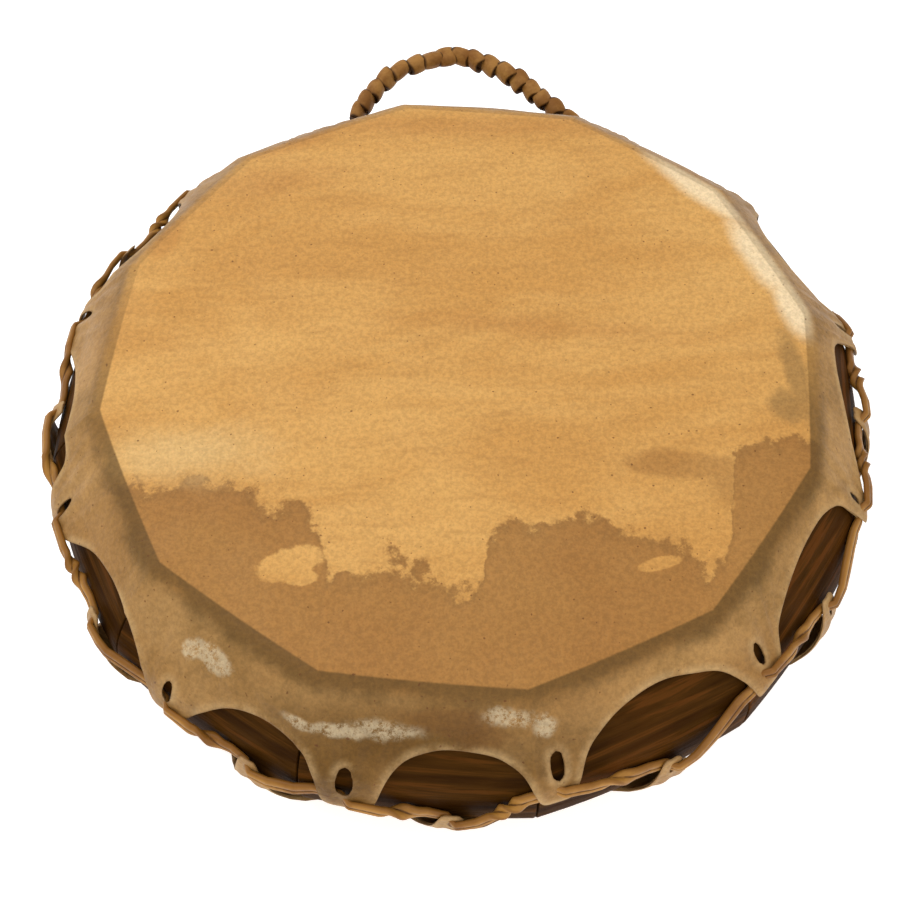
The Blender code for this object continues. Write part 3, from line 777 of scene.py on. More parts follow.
@dataclass(frozen=True)
class Skin:
    """One rawhide skin: flat head, rounded crease, skirt with scallops and laced tabs."""

    side: Side
    tabs: tuple[Tab, ...]
    node: str
    finish: RawhideFinish
    columns: int = 1440
    skirt_rows: int = 30
    crease_rows: int = 7
    head_shares: tuple[float, ...] = (0.12, 0.35, 0.6, 0.8, 0.92, 0.97)
    crease_drop: float = 0.0030
    thickness: float = 0.0014
    rim_share: float = 0.45
    rim_drop: float = 0.0004
    ridge: float = 0.0009
    roll: float = 0.0007
    shoulder: float = 2.4
    spring: float = 2.15
    foot_rise: float = 2.5
    tip_share: float = 0.72
    tip_rise: float = 0.7
    hole_cut: float = 0.62
    hole_reach: float = 3.0
    hole_fade: float = 1.2
    far_from_holes: float = 9.0
    smooth_angle: float = 62.0
    seed: int = 5

    def arch(self, index: int) -> list[tuple[float, float]]:
        """Corners of the scallop after a tab, as azimuths and millimetres."""
        if self.side is Side.UPPER and index in FRONT_ARCHES:
            return list(FRONT_ARCHES[index])
        tab, following = self.tabs[index], self.tabs[(index + 1) % len(self.tabs)]
        start = tab.azimuth + tab.half_width
        span = (following.azimuth - following.half_width - start) % FULL_TURN
        top = BARREL.half / MM - SKIRT_DEPTHS[index]
        corners = []
        for share in np.linspace(0.01, 0.99, 25):
            foot = tab.tip + self.foot_rise + (following.tip - tab.tip) * share
            bow = (1.0 - abs(2.0 * share - 1.0) ** self.shoulder) ** (1.0 / self.spring)
            corners.append((start + span * share, foot + (top - foot) * bow))
        return corners

    def edge(self, azimuth: np.ndarray) -> np.ndarray:
        """Height in metres of the skin's cut edge at azimuths."""
        corners = []
        for index, tab in enumerate(self.tabs):
            inside = tab.half_width * self.tip_share
            raised = tab.tip + self.tip_rise
            corners += [(tab.azimuth - inside, raised), (tab.azimuth, tab.tip), (tab.azimuth + inside, raised)]
            corners += self.arch(index)
        corners.append((corners[0][0] + FULL_TURN, corners[0][1]))
        spots = smooth_curve(np.array(corners))
        raw = np.interp(azimuth, np.maximum.accumulate(spots[:, 0]), spots[:, 1], period=FULL_TURN)
        kernel = np.exp(-np.linspace(-1.8, 1.8, 7) ** 2)
        kernel = kernel / kernel.sum()
        reach = len(kernel) // 2
        padded = np.concatenate([raw[-reach:], raw, raw[:reach]])
        return np.convolve(padded, kernel, mode="valid") * MM

    def open_holes(self, azimuth: np.ndarray, height: np.ndarray) -> tuple[np.ndarray, np.ndarray, np.ndarray]:
        """Push the skirt's points away from the lacing holes.

        Args:
            azimuth: degrees, rows by columns.
            height: metres, rows by columns.

        Returns:
            Moved azimuths and heights, and each point's first distance from a hole in hole sizes.
        """
        nearest = np.full(azimuth.shape, self.far_from_holes)
        degrees_per_metre = 180.0 / math.pi / BARREL.belly
        moved_azimuth, moved_height = azimuth.copy(), height.copy()
        for tab in self.tabs:
            middle = (tab.lace + tab.hole_rise) * MM
            wide = tab.hole_half_width * MM * degrees_per_metre
            tall = tab.hole_half_height * MM
            across = wrap_turn(azimuth - tab.azimuth - tab.hole_shift) / wide
            up = (height - middle) / tall
            away = np.maximum(np.hypot(across, up), 1e-4)
            spread = (away ** 3 + 1.0) ** (1.0 / 3.0) / away
            near = away < self.hole_reach
            fade = np.where(near, smooth_step((self.hole_reach - away) / self.hole_fade), 0.0)
            moved_azimuth += np.where(near, across * (spread - 1.0) * wide * fade, 0.0)
            moved_height += np.where(near, up * (spread - 1.0) * tall * fade, 0.0)
            nearest = np.minimum(nearest, away)
        return moved_azimuth, moved_height, nearest

    def stand_off(self, azimuth: np.ndarray, height: np.ndarray, edge: np.ndarray) -> np.ndarray:
        """Distance of the skin's outer face from the wood, with pulled ridges and rolled rims."""
        off = BARREL.gap + BARREL.skin + BARREL.skin_lift(height)
        share = np.clip((height - edge) / np.maximum(BARREL.half - edge, 1e-6), 0.0, 1.0)
        for tab in self.tabs:
            away = wrap_turn(azimuth - tab.azimuth)
            reach = tab.half_width * (0.9 + 1.6 * share)
            pulled = np.exp(-(away / reach) ** 2) * np.sin(np.pi * np.clip(share * 1.1, 0.0, 1.0)) ** 0.7
            folds = 0.55 + 0.45 * np.cos(2 * math.pi * away / (2.0 + 2.4 * share) + tab.azimuth)
            off = off + self.ridge * pulled * folds
        rolled = np.exp(-((height - edge) / (2.2 * MM)) ** 2) * smooth_step((edge - 16.0 * MM) / (8.0 * MM))
        off = off + self.roll * rolled * (0.6 + 0.4 * ripple(azimuth, height * 0.0, self.seed, 5))
        uneven = 0.5 + 0.5 * ripple(azimuth, height, self.seed + 1, 9)
        return off + 0.35 * MM * np.clip(uneven, 0.0, 1.0) * np.sin(math.pi * share)

    def shape(self) -> tuple[np.ndarray, list[list[int]], np.ndarray]:
        """Points and faces of the skin's outer side.

        Returns:
            The points, the faces, and each point's distance from the crease, below nought on the head.
        """
        columns = np.arange(self.columns) * FULL_TURN / self.columns - 180.0
        edge = self.edge(columns)
        start = np.minimum(self.crease_drop / (BARREL.half - edge), 0.4)
        rows = np.linspace(0.0, 1.0, self.skirt_rows)[:, None]
        heights = BARREL.half - (BARREL.half - edge)[None] * (start[None] + (1.0 - start[None]) * rows)
        azimuths = np.broadcast_to(columns, heights.shape).copy()
        azimuths, heights, from_hole = self.open_holes(azimuths, heights)
        off = self.stand_off(azimuths, heights, edge[None])
        off[-1] -= self.rim_drop
        outward, upward = BARREL.normal(azimuths, heights)
        radii = BARREL.radius(azimuths, heights) + outward * off
        levels = heights + upward * off

        top = BARREL.half + BARREL.gap + BARREL.skin
        out_rim, up_rim = BARREL.normal(columns, np.full(self.columns, BARREL.half))
        corner = BARREL.radius(columns, BARREL.half) + (BARREL.gap + BARREL.skin) * (1.0 - up_rim) / out_rim
        run = np.hypot(radii[0] - corner, levels[0] - top)
        begin = corner - run
        bend = np.linspace(0.0, 1.0, self.crease_rows, endpoint=False)[:, None]
        crease_radii = begin * (1 - bend) ** 2 + 2 * corner * bend * (1 - bend) + radii[0] * bend ** 2
        crease_levels = top * (1 - bend) ** 2 + 2 * top * bend * (1 - bend) + levels[0] * bend ** 2
        shares = np.array(self.head_shares)[:, None]
        radii = np.concatenate([begin[None] * shares, crease_radii, radii])
        levels = np.concatenate([np.full((len(shares), self.columns), top), crease_levels, levels])
        still = np.broadcast_to(columns, (len(shares) + self.crease_rows, self.columns))
        azimuths = np.concatenate([still, azimuths])
        from_hole = np.concatenate([np.full(still.shape, self.far_from_holes), from_hole])
        from_crease = np.hypot(radii - corner[None], levels - top)
        from_crease[:len(shares) + self.crease_rows // 2] *= -1.0

        sign = self.side.value
        points = BARREL.place(azimuths, radii, sign * levels).reshape(-1, 3)
        middle = BARREL.place(np.array(0.0), np.array(0.0), np.array(sign * top))
        points = np.concatenate([points, middle[None]])
        row_count = len(radii)
        index = np.arange(row_count * self.columns).reshape(row_count, self.columns)
        beside = np.roll(index, -1, axis=1)
        quads = np.stack([index[:-1], index[1:], beside[1:], beside[:-1]], axis=-1)
        next_column = np.roll(from_hole, -1, axis=1)
        middles = (from_hole[:-1] + from_hole[1:] + next_column[:-1] + next_column[1:]) / 4
        quads = quads[middles > self.hole_cut]
        fan = np.stack([np.full(self.columns, len(points) - 1), index[0], beside[0]], axis=-1)
        if self.side is Side.LOWER:
            quads, fan = quads[:, ::-1], fan[:, ::-1]
        return points, quads.tolist() + fan.tolist(), np.append(from_crease.ravel(), -BARREL.rim)

    def build(self) -> bpy.types.Object:
        """Make the skin's mesh, give it its wall and dress it."""
        points, faces, from_crease = self.shape()
        mesh = bpy.data.meshes.new(self.node + "_hide")
        mesh.from_pydata(points.tolist(), [], faces)
        keep_number(mesh, "crease", from_crease)
        item = new_object(self.node + "_hide", mesh)
        self.measure_edge(item)
        wall = item.modifiers.new("wall", "SOLIDIFY")
        wall.thickness = self.thickness
        wall.offset = -1.0
        wall.vertex_group = "thick"
        wall.thickness_vertex_group = self.rim_share
        settle(item)
        item.data.shade_smooth()
        item.data.set_sharp_from_angle(angle=math.radians(self.smooth_angle))
        return finish_piece(item, self.finish.material(), (self.node,))

    def measure_edge(self, item: bpy.types.Object) -> None:
        """Drop loose points, and keep each point's distance from a cut edge and where the hide is thick."""
        work = bmesh.new()
        work.from_mesh(item.data)
        bmesh.ops.delete(work, geom=[point for point in work.verts if not point.link_faces], context="VERTS")
        rims = [point for point in work.verts if point.is_boundary]
        tree = KDTree(len(rims))
        for number, point in enumerate(rims):
            tree.insert(point.co, number)
        tree.balance()
        distances = np.array([tree.find(point.co)[2] for point in work.verts])
        work.to_mesh(item.data)
        work.free()
        keep_number(item.data, "edge", distances)
        group = item.vertex_groups.new(name="thick")
        for inner, weight in ((distances > self.roll, 1.0), (distances <= self.roll, 0.0)):
            group.add([int(number) for number in np.flatnonzero(inner)], weight, "REPLACE")


@dataclass(frozen=True)
class Staves:
    """The twelve boards of the ring, with worn arrises and a slightly uneven outside."""

    finish: WoodFinish
    columns: int = 15
    rows: int = 27
    joint_gap: float = 0.0006
    arris: float = 0.0007
    unevenness: float = 0.00022
    inset: float = 0.00015
    bevel_angle: float = 42.0
    smooth_angle: float = 35.0

    def build(self) -> list[bpy.types.Object]:
        """Make all boards."""
        return [self.board(index) for index in range(BARREL.staves)]

    def shape(self, index: int) -> tuple[np.ndarray, list[list[int]]]:
        """Points and faces of one board before its arrises are worn.

        Args:
            index: which board, from the first joint on.

        Returns:
            The points and the faces.
        """
        pitch = FULL_TURN / BARREL.staves
        clear = math.degrees(self.joint_gap / 2 / BARREL.rim)
        first = BARREL.first_joint + index * pitch
        columns = np.linspace(first + clear, first + pitch - clear, self.columns)[None]
        heights = np.linspace(-BARREL.half, BARREL.half, self.rows)[:, None]
        outer = BARREL.radius(columns, heights) - self.inset
        outer = outer + self.unevenness * np.minimum(ripple(columns, heights, index, 8), 0.0)
        flat = BARREL.wall / math.cos(math.radians(pitch / 2))
        swing = math.cos(math.radians(pitch / 2)) / np.cos(np.radians(columns - first - pitch / 2))
        inner = (BARREL.corner(heights) - flat) * swing
        points = np.concatenate([
            BARREL.place(columns, outer, heights).reshape(-1, 3),
            BARREL.place(columns, inner, heights).reshape(-1, 3),
        ])
        grid = np.arange(self.rows * self.columns).reshape(self.rows, self.columns)
        back = grid + self.rows * self.columns
        faces = []
        for sheet, turned in ((grid, False), (back, True)):
            quads = np.stack([sheet[:-1, :-1], sheet[:-1, 1:], sheet[1:, 1:], sheet[1:, :-1]], axis=-1)
            quads = quads.reshape(-1, 4)
            faces += (quads[:, ::-1] if turned else quads).tolist()
        loop = np.concatenate([grid[0], grid[1:, -1], grid[-1, -2::-1], grid[-2:0:-1, 0]])
        inside = loop + self.rows * self.columns
        faces += np.stack([np.roll(loop, -1), loop, inside, np.roll(inside, -1)], axis=-1).tolist()
        return points, faces

    def board(self, index: int) -> bpy.types.Object:
        """Make one board and dress it."""
        points, faces = self.shape(index)
        mesh = bpy.data.meshes.new(f"board_{index + 1:02d}")
        mesh.from_pydata(points.tolist(), [], faces)
        item = new_object(f"board_{index + 1:02d}", mesh)
        worn = item.modifiers.new("arris", "BEVEL")
        worn.width = self.arris
        worn.segments = 2
        worn.limit_method = "ANGLE"
        worn.angle_limit = math.radians(self.bevel_angle)
        settle(item)
        work = bmesh.new()
        work.from_mesh(item.data)
        bmesh.ops.recalc_face_normals(work, faces=work.faces)
        work.to_mesh(item.data)
        work.free()
        item.data.shade_smooth()
        item.data.set_sharp_from_angle(angle=math.radians(self.smooth_angle))
        middle = float(wrap_turn(np.array(BARREL.first_joint + (index + 0.5) * FULL_TURN / BARREL.staves)))
        red_share = 0.15 + 0.6 * max(0.0, math.sin(math.radians(middle)))
        material = self.finish.material(middle, red_share)
        return finish_piece(item, material, (f"stave_{index + 1:02d}",))


class Grower:
    """A Geometry Nodes tree with named inputs, and the way to grow a piece from it."""

    def __init__(self, name: str) -> None:
        """Start an empty tree."""
        self.tree = bpy.data.node_groups.new(name, "GeometryNodeTree")
        self.tree.interface.new_socket("Geometry", in_out="INPUT", socket_type="NodeSocketGeometry")
        self.tree.interface.new_socket("Geometry", in_out="OUTPUT", socket_type="NodeSocketGeometry")
        self.inlet = self.tree.nodes.new("NodeGroupInput")
        self.outlet = self.tree.nodes.new("NodeGroupOutput")

    def parameter(self, name: str, kind: str) -> bpy.types.NodeSocket:
        """Add a named input and hand out its socket."""
        self.tree.interface.new_socket(name, in_out="INPUT", socket_type=kind)
        return self.inlet.outputs[name]

    def node(self, kind: str, links: dict[str, object], **settings: object) -> bpy.types.Node:
        """Add a node, set its options and feed its inputs.

        Args:
            kind: the node's type.
            links: for each input a socket or a value.
            settings: the node's own options.

        Returns:
            The node.
        """
        node = self.tree.nodes.new(kind)
        for name, value in settings.items():
            setattr(node, name, value)
        for name, value in links.items():
            socket = next(entry for entry in node.inputs if entry.name == name and entry.enabled)
            if isinstance(value, bpy.types.NodeSocket):
                self.tree.links.new(value, socket)
            else:
                socket.default_value = value
        return node

    def kept(self, name: str, kind: str) -> bpy.types.NodeSocket:
        """Read a named attribute."""
        node = self.node("GeometryNodeInputNamedAttribute", {"Name": name}, data_type=kind)
        return next(entry for entry in node.outputs if entry.enabled)

    def close(self, geometry: bpy.types.NodeSocket, material: bpy.types.NodeSocket) -> None:
        """End the tree: real geometry, smooth, with its material."""
        real = self.node("GeometryNodeRealizeInstances", {"Geometry": geometry})
        smooth = self.node("GeometryNodeSetShadeSmooth", {"Geometry": real.outputs[0]})
        dressed = self.node("GeometryNodeSetMaterial", {"Geometry": smooth.outputs[0], "Material": material})
        self.tree.links.new(dressed.outputs[0], self.outlet.inputs[0])

    def grow(self, name: str, path: bpy.types.Mesh, values: dict[str, object]) -> bpy.types.Object:
        """Run the tree on a path and keep the result as plain mesh.

        Args:
            name: name of the new piece.
            path: mesh that the tree starts from.
            values: the named inputs' values.

        Returns:
            The new piece.
        """
        item = new_object(name, path)
        modifier = item.modifiers.new("grow", "NODES")
        modifier.node_group = self.tree
        for entry in self.tree.interface.items_tree:
            if entry.in_out == "INPUT" and entry.name in values:
                modifier[entry.identifier] = values[entry.name]
        return settle(item)


def strip_tree() -> Grower:
    """Tree that sweeps a rounded flat section along a path, with its wide side across "outward"."""
    made = Grower("rawhide_strip")
    width = made.parameter("Width", "NodeSocketFloat")
    thickness = made.parameter("Thickness", "NodeSocketFloat")
    sides = made.parameter("Sides", "NodeSocketInt")
    material = made.parameter("Material", "NodeSocketMaterial")
    curve = made.node("GeometryNodeMeshToCurve", {"Mesh": made.inlet.outputs[0]})
    turned = made.node("GeometryNodeSetCurveNormal", {"Curve": curve.outputs[0]}, mode="FREE")
    made.tree.links.new(made.kept("outward", "FLOAT_VECTOR"), turned.inputs["Normal"])
    circle = made.node("GeometryNodeCurvePrimitiveCircle", {"Resolution": sides, "Radius": 1.0})
    place = made.node("GeometryNodeInputPosition", {})
    parts = made.node("ShaderNodeSeparateXYZ", {"Vector": place.outputs[0]})
    marked = made.node("GeometryNodeStoreNamedAttribute", {
        "Geometry": circle.outputs["Curve"], "Name": "across", "Value": parts.outputs["Y"],
    }, data_type="FLOAT", domain="POINT")
    half_width = made.node("ShaderNodeMath", {}, operation="MULTIPLY")
    half_thick = made.node("ShaderNodeMath", {}, operation="MULTIPLY")
    for node, value in ((half_width, width), (half_thick, thickness)):
        made.tree.links.new(value, node.inputs[0])
        node.inputs[1].default_value = 0.5
    size = made.node("ShaderNodeMath", {"Value": parts.outputs["Y"]}, operation="ABSOLUTE")
    groove = made.node("ShaderNodeMapRange", {
        "Value": size.outputs[0], "From Min": 0.0, "From Max": 0.5, "To Min": 0.62, "To Max": 1.0,
    }, interpolation_type="SMOOTHSTEP")
    thinned = made.node("ShaderNodeMath", {"Value": parts.outputs["X"]}, operation="MULTIPLY")
    made.tree.links.new(groove.outputs["Result"], thinned.inputs[1])
    dented = made.node("ShaderNodeCombineXYZ", {"X": thinned.outputs[0], "Y": parts.outputs["Y"]})
    grooved = made.node("GeometryNodeSetPosition", {"Geometry": marked.outputs[0], "Position": dented.outputs[0]})
    scale = made.node("ShaderNodeCombineXYZ", {"X": half_thick.outputs[0], "Y": half_width.outputs[0], "Z": 1.0})
    shaped = made.node("GeometryNodeTransform", {"Geometry": grooved.outputs[0], "Scale": scale.outputs[0]})
    swept = made.node("GeometryNodeCurveToMesh", {
        "Curve": turned.outputs[0], "Profile Curve": shaped.outputs[0],
        "Scale": made.kept("swell", "FLOAT"), "Fill Caps": True,
    })
    made.close(swept.outputs[0], material)
    return made


def path_mesh(name: str, points: np.ndarray, outward: np.ndarray, swell: np.ndarray,
              closed: bool) -> bpy.types.Mesh:
    """Line of points with the attributes that the strip tree reads."""
    count = len(points)
    edges = [(index, (index + 1) % count) for index in range(count if closed else count - 1)]
    mesh = bpy.data.meshes.new(name)
    mesh.from_pydata(points.tolist(), edges, [])
    keep_vector(mesh, "outward", outward)
    keep_number(mesh, "swell", swell)
    return mesh


@dataclass(frozen=True)
class Lace:
    """The long thong: under the left of every tab, out of its hole and over its right side, twisted between."""

    finish: LaceFinish
    width: float = 0.0052
    thickness: float = 0.0030
    samples: int = 1440
    sides: int = 20
    clear: float = 0.0004
    margin: float = 1.2
    inset: float = 0.6
    slack: float = -0.0010
    fullness: float = 0.30
    unevenness: float = 0.10
    sway: float = 0.10
    seed: int = 11

    def anchors(self) -> list[tuple[float, float, float]]:
        """Azimuth, height in metres and half tab width at each tab, upper and lower in turn."""
        found = []
        for upper, lower in zip(UPPER_TABS, lower_tabs()):
            found.append((upper.azimuth, upper.lace * MM, upper.half_width))
            found.append((lower.azimuth, -lower.lace * MM, lower.half_width))
        return sorted(found)

    def share(self, azimuth: np.ndarray) -> tuple[np.ndarray, np.ndarray]:
        """Which span each azimuth lies in, and how far along it."""
        starts = np.array([entry[0] for entry in self.anchors()])
        index = (np.searchsorted(starts, azimuth, side="right") - 1) % len(starts)
        begin = starts[index]
        span = (starts[(index + 1) % len(starts)] - begin) % FULL_TURN
        return index, ((azimuth - begin) % FULL_TURN) / span

    def height(self, azimuth: np.ndarray) -> np.ndarray:
        """Height of the lace's middle."""
        levels = np.array([entry[1] for entry in self.anchors()])
        index, share = self.share(azimuth)
        eased = (share + (1.0 - np.cos(math.pi * share)) / 2) / 2
        return levels[index] + (levels[(index + 1) % len(levels)] - levels[index]) * eased

    def stand_off(self, azimuth: np.ndarray) -> np.ndarray:
        """Distance of the lace's middle from the wood."""
        under = BARREL.gap + self.thickness / 2 + 0.15 * MM
        over = BARREL.gap + BARREL.lift + BARREL.skin + self.clear + self.thickness / 2
        stations = []
        for middle, _, half_width in self.anchors():
            stations += [(middle - half_width - self.margin, under), (middle - self.inset, under)]
            stations += [(middle + self.inset, over), (middle + half_width + self.margin, over)]
        for middle in Handle.TIE_AZIMUTHS:
            stations += [(middle - self.margin, over), (middle + self.margin, over)]
        spots = np.array(sorted((float(wrap_turn(np.array(spot))), value) for spot, value in stations))
        _, share = self.share(azimuth)
        return np.interp(azimuth, spots[:, 0], spots[:, 1], period=FULL_TURN) + self.slack * np.sin(math.pi * share)

    def frame(self, azimuth: np.ndarray) -> tuple[np.ndarray, np.ndarray]:
        """Points on the lace's middle line and the direction away from the wood there."""
        height = self.height(azimuth)
        half = self.width / 2
        slope = BARREL.radius(azimuth, height - half) - BARREL.radius(azimuth, height + half)
        lean = np.arctan2(slope, self.width)
        angle = np.radians(azimuth)
        normal = np.stack([np.sin(angle) * np.cos(lean), -np.cos(angle) * np.cos(lean), np.sin(lean)], axis=-1)
        ground = BARREL.place(azimuth, BARREL.radius(azimuth, height), height)
        bulge = np.zeros(len(azimuth))
        for offset in np.linspace(-half, half, 7):
            beside = BARREL.place(azimuth, BARREL.radius(azimuth, height + offset), height + offset)
            bulge = np.maximum(bulge, np.sum((beside - ground) * normal, axis=-1))
        return ground + normal * (self.stand_off(azimuth) + bulge)[:, None], normal

    def twist(self, azimuth: np.ndarray) -> np.ndarray:
        """How far the lace has turned about its own line: one half turn between most tabs."""
        index, share = self.share(azimuth)
        count = len(self.anchors())
        draw = np.random.default_rng(self.seed)
        turns = draw.integers(0, 3, count)
        turns[-1] += turns.sum() % 2
        before = np.concatenate([[0], np.cumsum(turns)])[index]
        swayed = self.sway * np.sin(math.pi * 2 * share + index)
        return math.pi * (before + turns[index] * smooth_step((share - 0.34) / 0.36)) + swayed

    def build(self, tree: Grower) -> bpy.types.Object:
        """Make the lace and dress it."""
        azimuth = np.arange(self.samples) * FULL_TURN / self.samples - 180.0
        points, normal = self.frame(azimuth)
        along = unit(np.roll(points, -1, 0) - np.roll(points, 1, 0))
        normal = unit(normal - along * np.sum(normal * along, axis=-1, keepdims=True))
        side = np.cross(along, normal)
        turn = self.twist(azimuth)[:, None]
        outward = normal * np.cos(turn) + side * np.sin(turn)
        span = np.sin(math.pi * self.share(azimuth)[1])
        uneven = 1.0 + self.unevenness * ripple(azimuth, np.zeros(self.samples), self.seed, 7)
        swell = uneven * (1.0 + self.fullness * span)
        path = path_mesh("lace_path", points, outward, swell, True)
        item = tree.grow("lace_thong", path, {
            "Width": self.width, "Thickness": self.thickness, "Sides": self.sides,
            "Material": self.finish.material(),
        })
        return finish_piece(item, None, ("lacing",))


@dataclass(frozen=True)
class Handle:
    """Wrapped carrying handle on an arched route between two ties on the lace."""

    lace: Lace
    grip: GripFinish
    thong: LaceFinish
    reach: float = 0.0410
    lean: float = 75.0
    turns: int = 17
    thickness: float = 0.0102
    end_thickness: float = 0.0070
    end_gap: float = 0.0055
    core: float = 0.0034
    taper: float = 0.012
    slant_change: float = 0.44
    slants: tuple[float, float] = (14.0, 24.0)
    tie_width: float = 0.0026
    tie_thickness: float = 0.0019
    tie_depth: float = 0.0028
    tie_height: float = 0.0046
    tie_drift: float = 0.0013
    steps: int = 340
    seed: int = 3
    TIE_AZIMUTHS = (-163.3, 161.3)
    ROUTE = (
        (0.00, 0.00), (0.02, 0.10), (0.04, 0.19), (0.08, 0.37), (0.14, 0.61), (0.23, 0.80), (0.34, 0.92),
        (0.46, 0.99), (0.56, 0.92), (0.65, 0.79), (0.74, 0.62), (0.82, 0.40), (0.90, 0.17), (0.95, 0.05), (1.00, 0.00),
    )

    def route(self) -> tuple[np.ndarray, np.ndarray]:
        """Evenly spaced points along the handle and the direction square to its arch."""
        spots, normals = self.lace.frame(np.array(self.TIE_AZIMUTHS))
        ends = spots + normals * self.end_gap
        lean = math.radians(self.lean)
        reach = np.array([0.0, math.sin(lean), math.cos(lean)]) * self.reach
        corners = np.array([ends[0] + (ends[1] - ends[0]) * along + reach * out for along, out in self.ROUTE])
        dense = smooth_curve(corners)
        lengths = np.concatenate([[0.0], np.cumsum(np.linalg.norm(np.diff(dense, axis=0), axis=1))])
        even = np.linspace(0.0, lengths[-1], self.steps)
        points = np.stack([np.interp(even, lengths, dense[:, axis]) for axis in range(3)], axis=-1)
        level = unit(np.cross(reach, ends[1] - ends[0]))
        return points, level

    def wrap(self) -> bpy.types.Object:
        """One rounded turn of the wrapping, a thick lip on one side and tucked in on the other."""
        around, outer = 32, 11
        section = []
        for part in range(outer):
            share = part / (outer - 1)
            rise = 1.0 - abs(2.0 * share - 1.0) ** 3.0
            section.append((1.24 * (share - 0.5), 0.80 + 0.20 * rise + 0.07 * (share - 0.5)))
        section += [(0.45, 0.60), (-0.45, 0.60)]
        across = len(section)
        points = []
        depths = []
        for step in range(around):
            angle = 2 * math.pi * step / around
            fold = 1.0 + 0.05 * math.cos(2 * angle) + 0.035 * math.cos(3 * angle + 1.0)
            for shift, radius in section:
                swing = 0.07 * math.cos(angle * 2 + 0.7)
                points.append((radius * fold * math.cos(angle), radius * fold * math.sin(angle), shift + swing))
                depths.append(min(max((radius - 0.80) / 0.20, 0.0), 1.0))
        faces = []
        for step in range(around):
            here, ahead = step * across, (step + 1) % around * across
            for part in range(across):
                beside = (part + 1) % across
                faces.append((here + part, ahead + part, ahead + beside, here + beside))
        mesh = bpy.data.meshes.new("wrap_turn")
        mesh.from_pydata(points, [], faces)
        keep_number(mesh, "depth", np.array(depths))
        work = bmesh.new()
        work.from_mesh(mesh)
        bmesh.ops.recalc_face_normals(work, faces=work.faces)
        work.to_mesh(mesh)
        work.free()
        return new_object("wrap_turn", mesh)

    def tree(self) -> Grower:
        """Tree that strings turns along a path over a thin core."""
        made = Grower("wrapped_grip")
        turn = made.parameter("Turn", "NodeSocketObject")
        core = made.parameter("Core", "NodeSocketFloat")
        material = made.parameter("Material", "NodeSocketMaterial")
        curve = made.node("GeometryNodeMeshToCurve", {"Mesh": made.inlet.outputs[0]})
        circle = made.node("GeometryNodeCurvePrimitiveCircle", {"Resolution": 14, "Radius": core})
        tube = made.node("GeometryNodeCurveToMesh", {
            "Curve": curve.outputs[0], "Profile Curve": circle.outputs["Curve"],
            "Scale": made.kept("swell", "FLOAT"), "Fill Caps": True,
        })
        shape = made.node("GeometryNodeObjectInfo", {"Object": turn})
        facing = made.node("FunctionNodeAxesToRotation", {
            "Primary Axis": made.kept("ahead", "FLOAT_VECTOR"), "Secondary Axis": made.kept("outward", "FLOAT_VECTOR"),
        }, primary_axis="Z", secondary_axis="X")
        strung = made.node("GeometryNodeInstanceOnPoints", {
            "Points": made.inlet.outputs[0], "Selection": made.kept("turn", "BOOLEAN"),
            "Instance": shape.outputs["Geometry"], "Rotation": facing.outputs[0],
            "Scale": made.kept("girth", "FLOAT_VECTOR"),
        })
        joined = made.node("GeometryNodeJoinGeometry", {})
        made.tree.links.new(tube.outputs[0], joined.inputs[0])
        made.tree.links.new(strung.outputs[0], joined.inputs[0])
        made.close(joined.outputs[0], material)
        return made

    def strung_path(self) -> bpy.types.Mesh:
        """Path of the grip, with each turn's place, slant, spin and girth."""
        points, level = self.route()
        length = float(np.sum(np.linalg.norm(np.diff(points, axis=0), axis=1)))
        ahead = unit(np.gradient(points, axis=0))
        outward = unit(np.cross(np.broadcast_to(level, ahead.shape), ahead))
        share = np.linspace(0.0, 1.0, self.steps)
        draw = np.random.default_rng(self.seed)
        chosen = np.round((np.arange(self.turns) + 0.5) / self.turns * (self.steps - 1)).astype(int)
        chosen = np.clip(chosen + draw.integers(-2, 3, self.turns), 5, self.steps - 6)
        selected = np.zeros(self.steps, bool)
        selected[chosen] = True
        shaken = np.zeros(self.steps)
        shaken[chosen] = draw.uniform(-0.10, 0.10, self.turns)
        tilt = np.radians(np.where(share < self.slant_change, *self.slants))
        slant = np.clip((share - self.slant_change) / 0.10, -1.0, 1.0) * tilt + shaken
        tipped = unit(ahead * np.cos(slant)[:, None] + outward * np.sin(slant)[:, None])
        grown = np.minimum(1.0, np.minimum(share, 1.0 - share) * length / self.taper)
        radius = (self.end_thickness + (self.thickness - self.end_thickness) * grown) / 2
        pitch = length / self.turns
        girth = np.stack([radius, radius * 0.96, np.full(self.steps, pitch * 0.94)], axis=-1)
        girth[chosen, 0] *= draw.uniform(0.97, 1.12, self.turns)
        girth[chosen, 1] *= draw.uniform(0.95, 1.08, self.turns)
        girth[chosen, 2] *= draw.uniform(0.92, 1.08, self.turns)
        spin = np.zeros(self.steps)
        spin[chosen] = draw.uniform(0.0, 2 * math.pi, self.turns)
        side = np.cross(tipped, outward)
        spun = outward * np.cos(spin)[:, None] + side * np.sin(spin)[:, None]
        path = path_mesh("grip_path", points, spun, radius / radius.max(), False)
        keep_vector(path, "ahead", tipped)
        keep_vector(path, "girth", girth)
        mark = path.attributes.new("turn", "BOOLEAN", "POINT")
        mark.data.foreach_set("value", selected)
        return path

    def build(self, strips: Grower) -> list[bpy.types.Object]:
        """Make the grip and its two ties."""
        turn = self.wrap()
        item = self.tree().grow("wrapped_grip", self.strung_path(), {
            "Turn": turn, "Core": self.core, "Material": self.grip.material(),
        })
        bpy.data.objects.remove(turn)
        made = [finish_piece(item, None, ("handle",))]
        for name, azimuth in zip(("left", "right"), self.TIE_AZIMUTHS):
            made.append(self.tie(name, azimuth, strips))
        return made

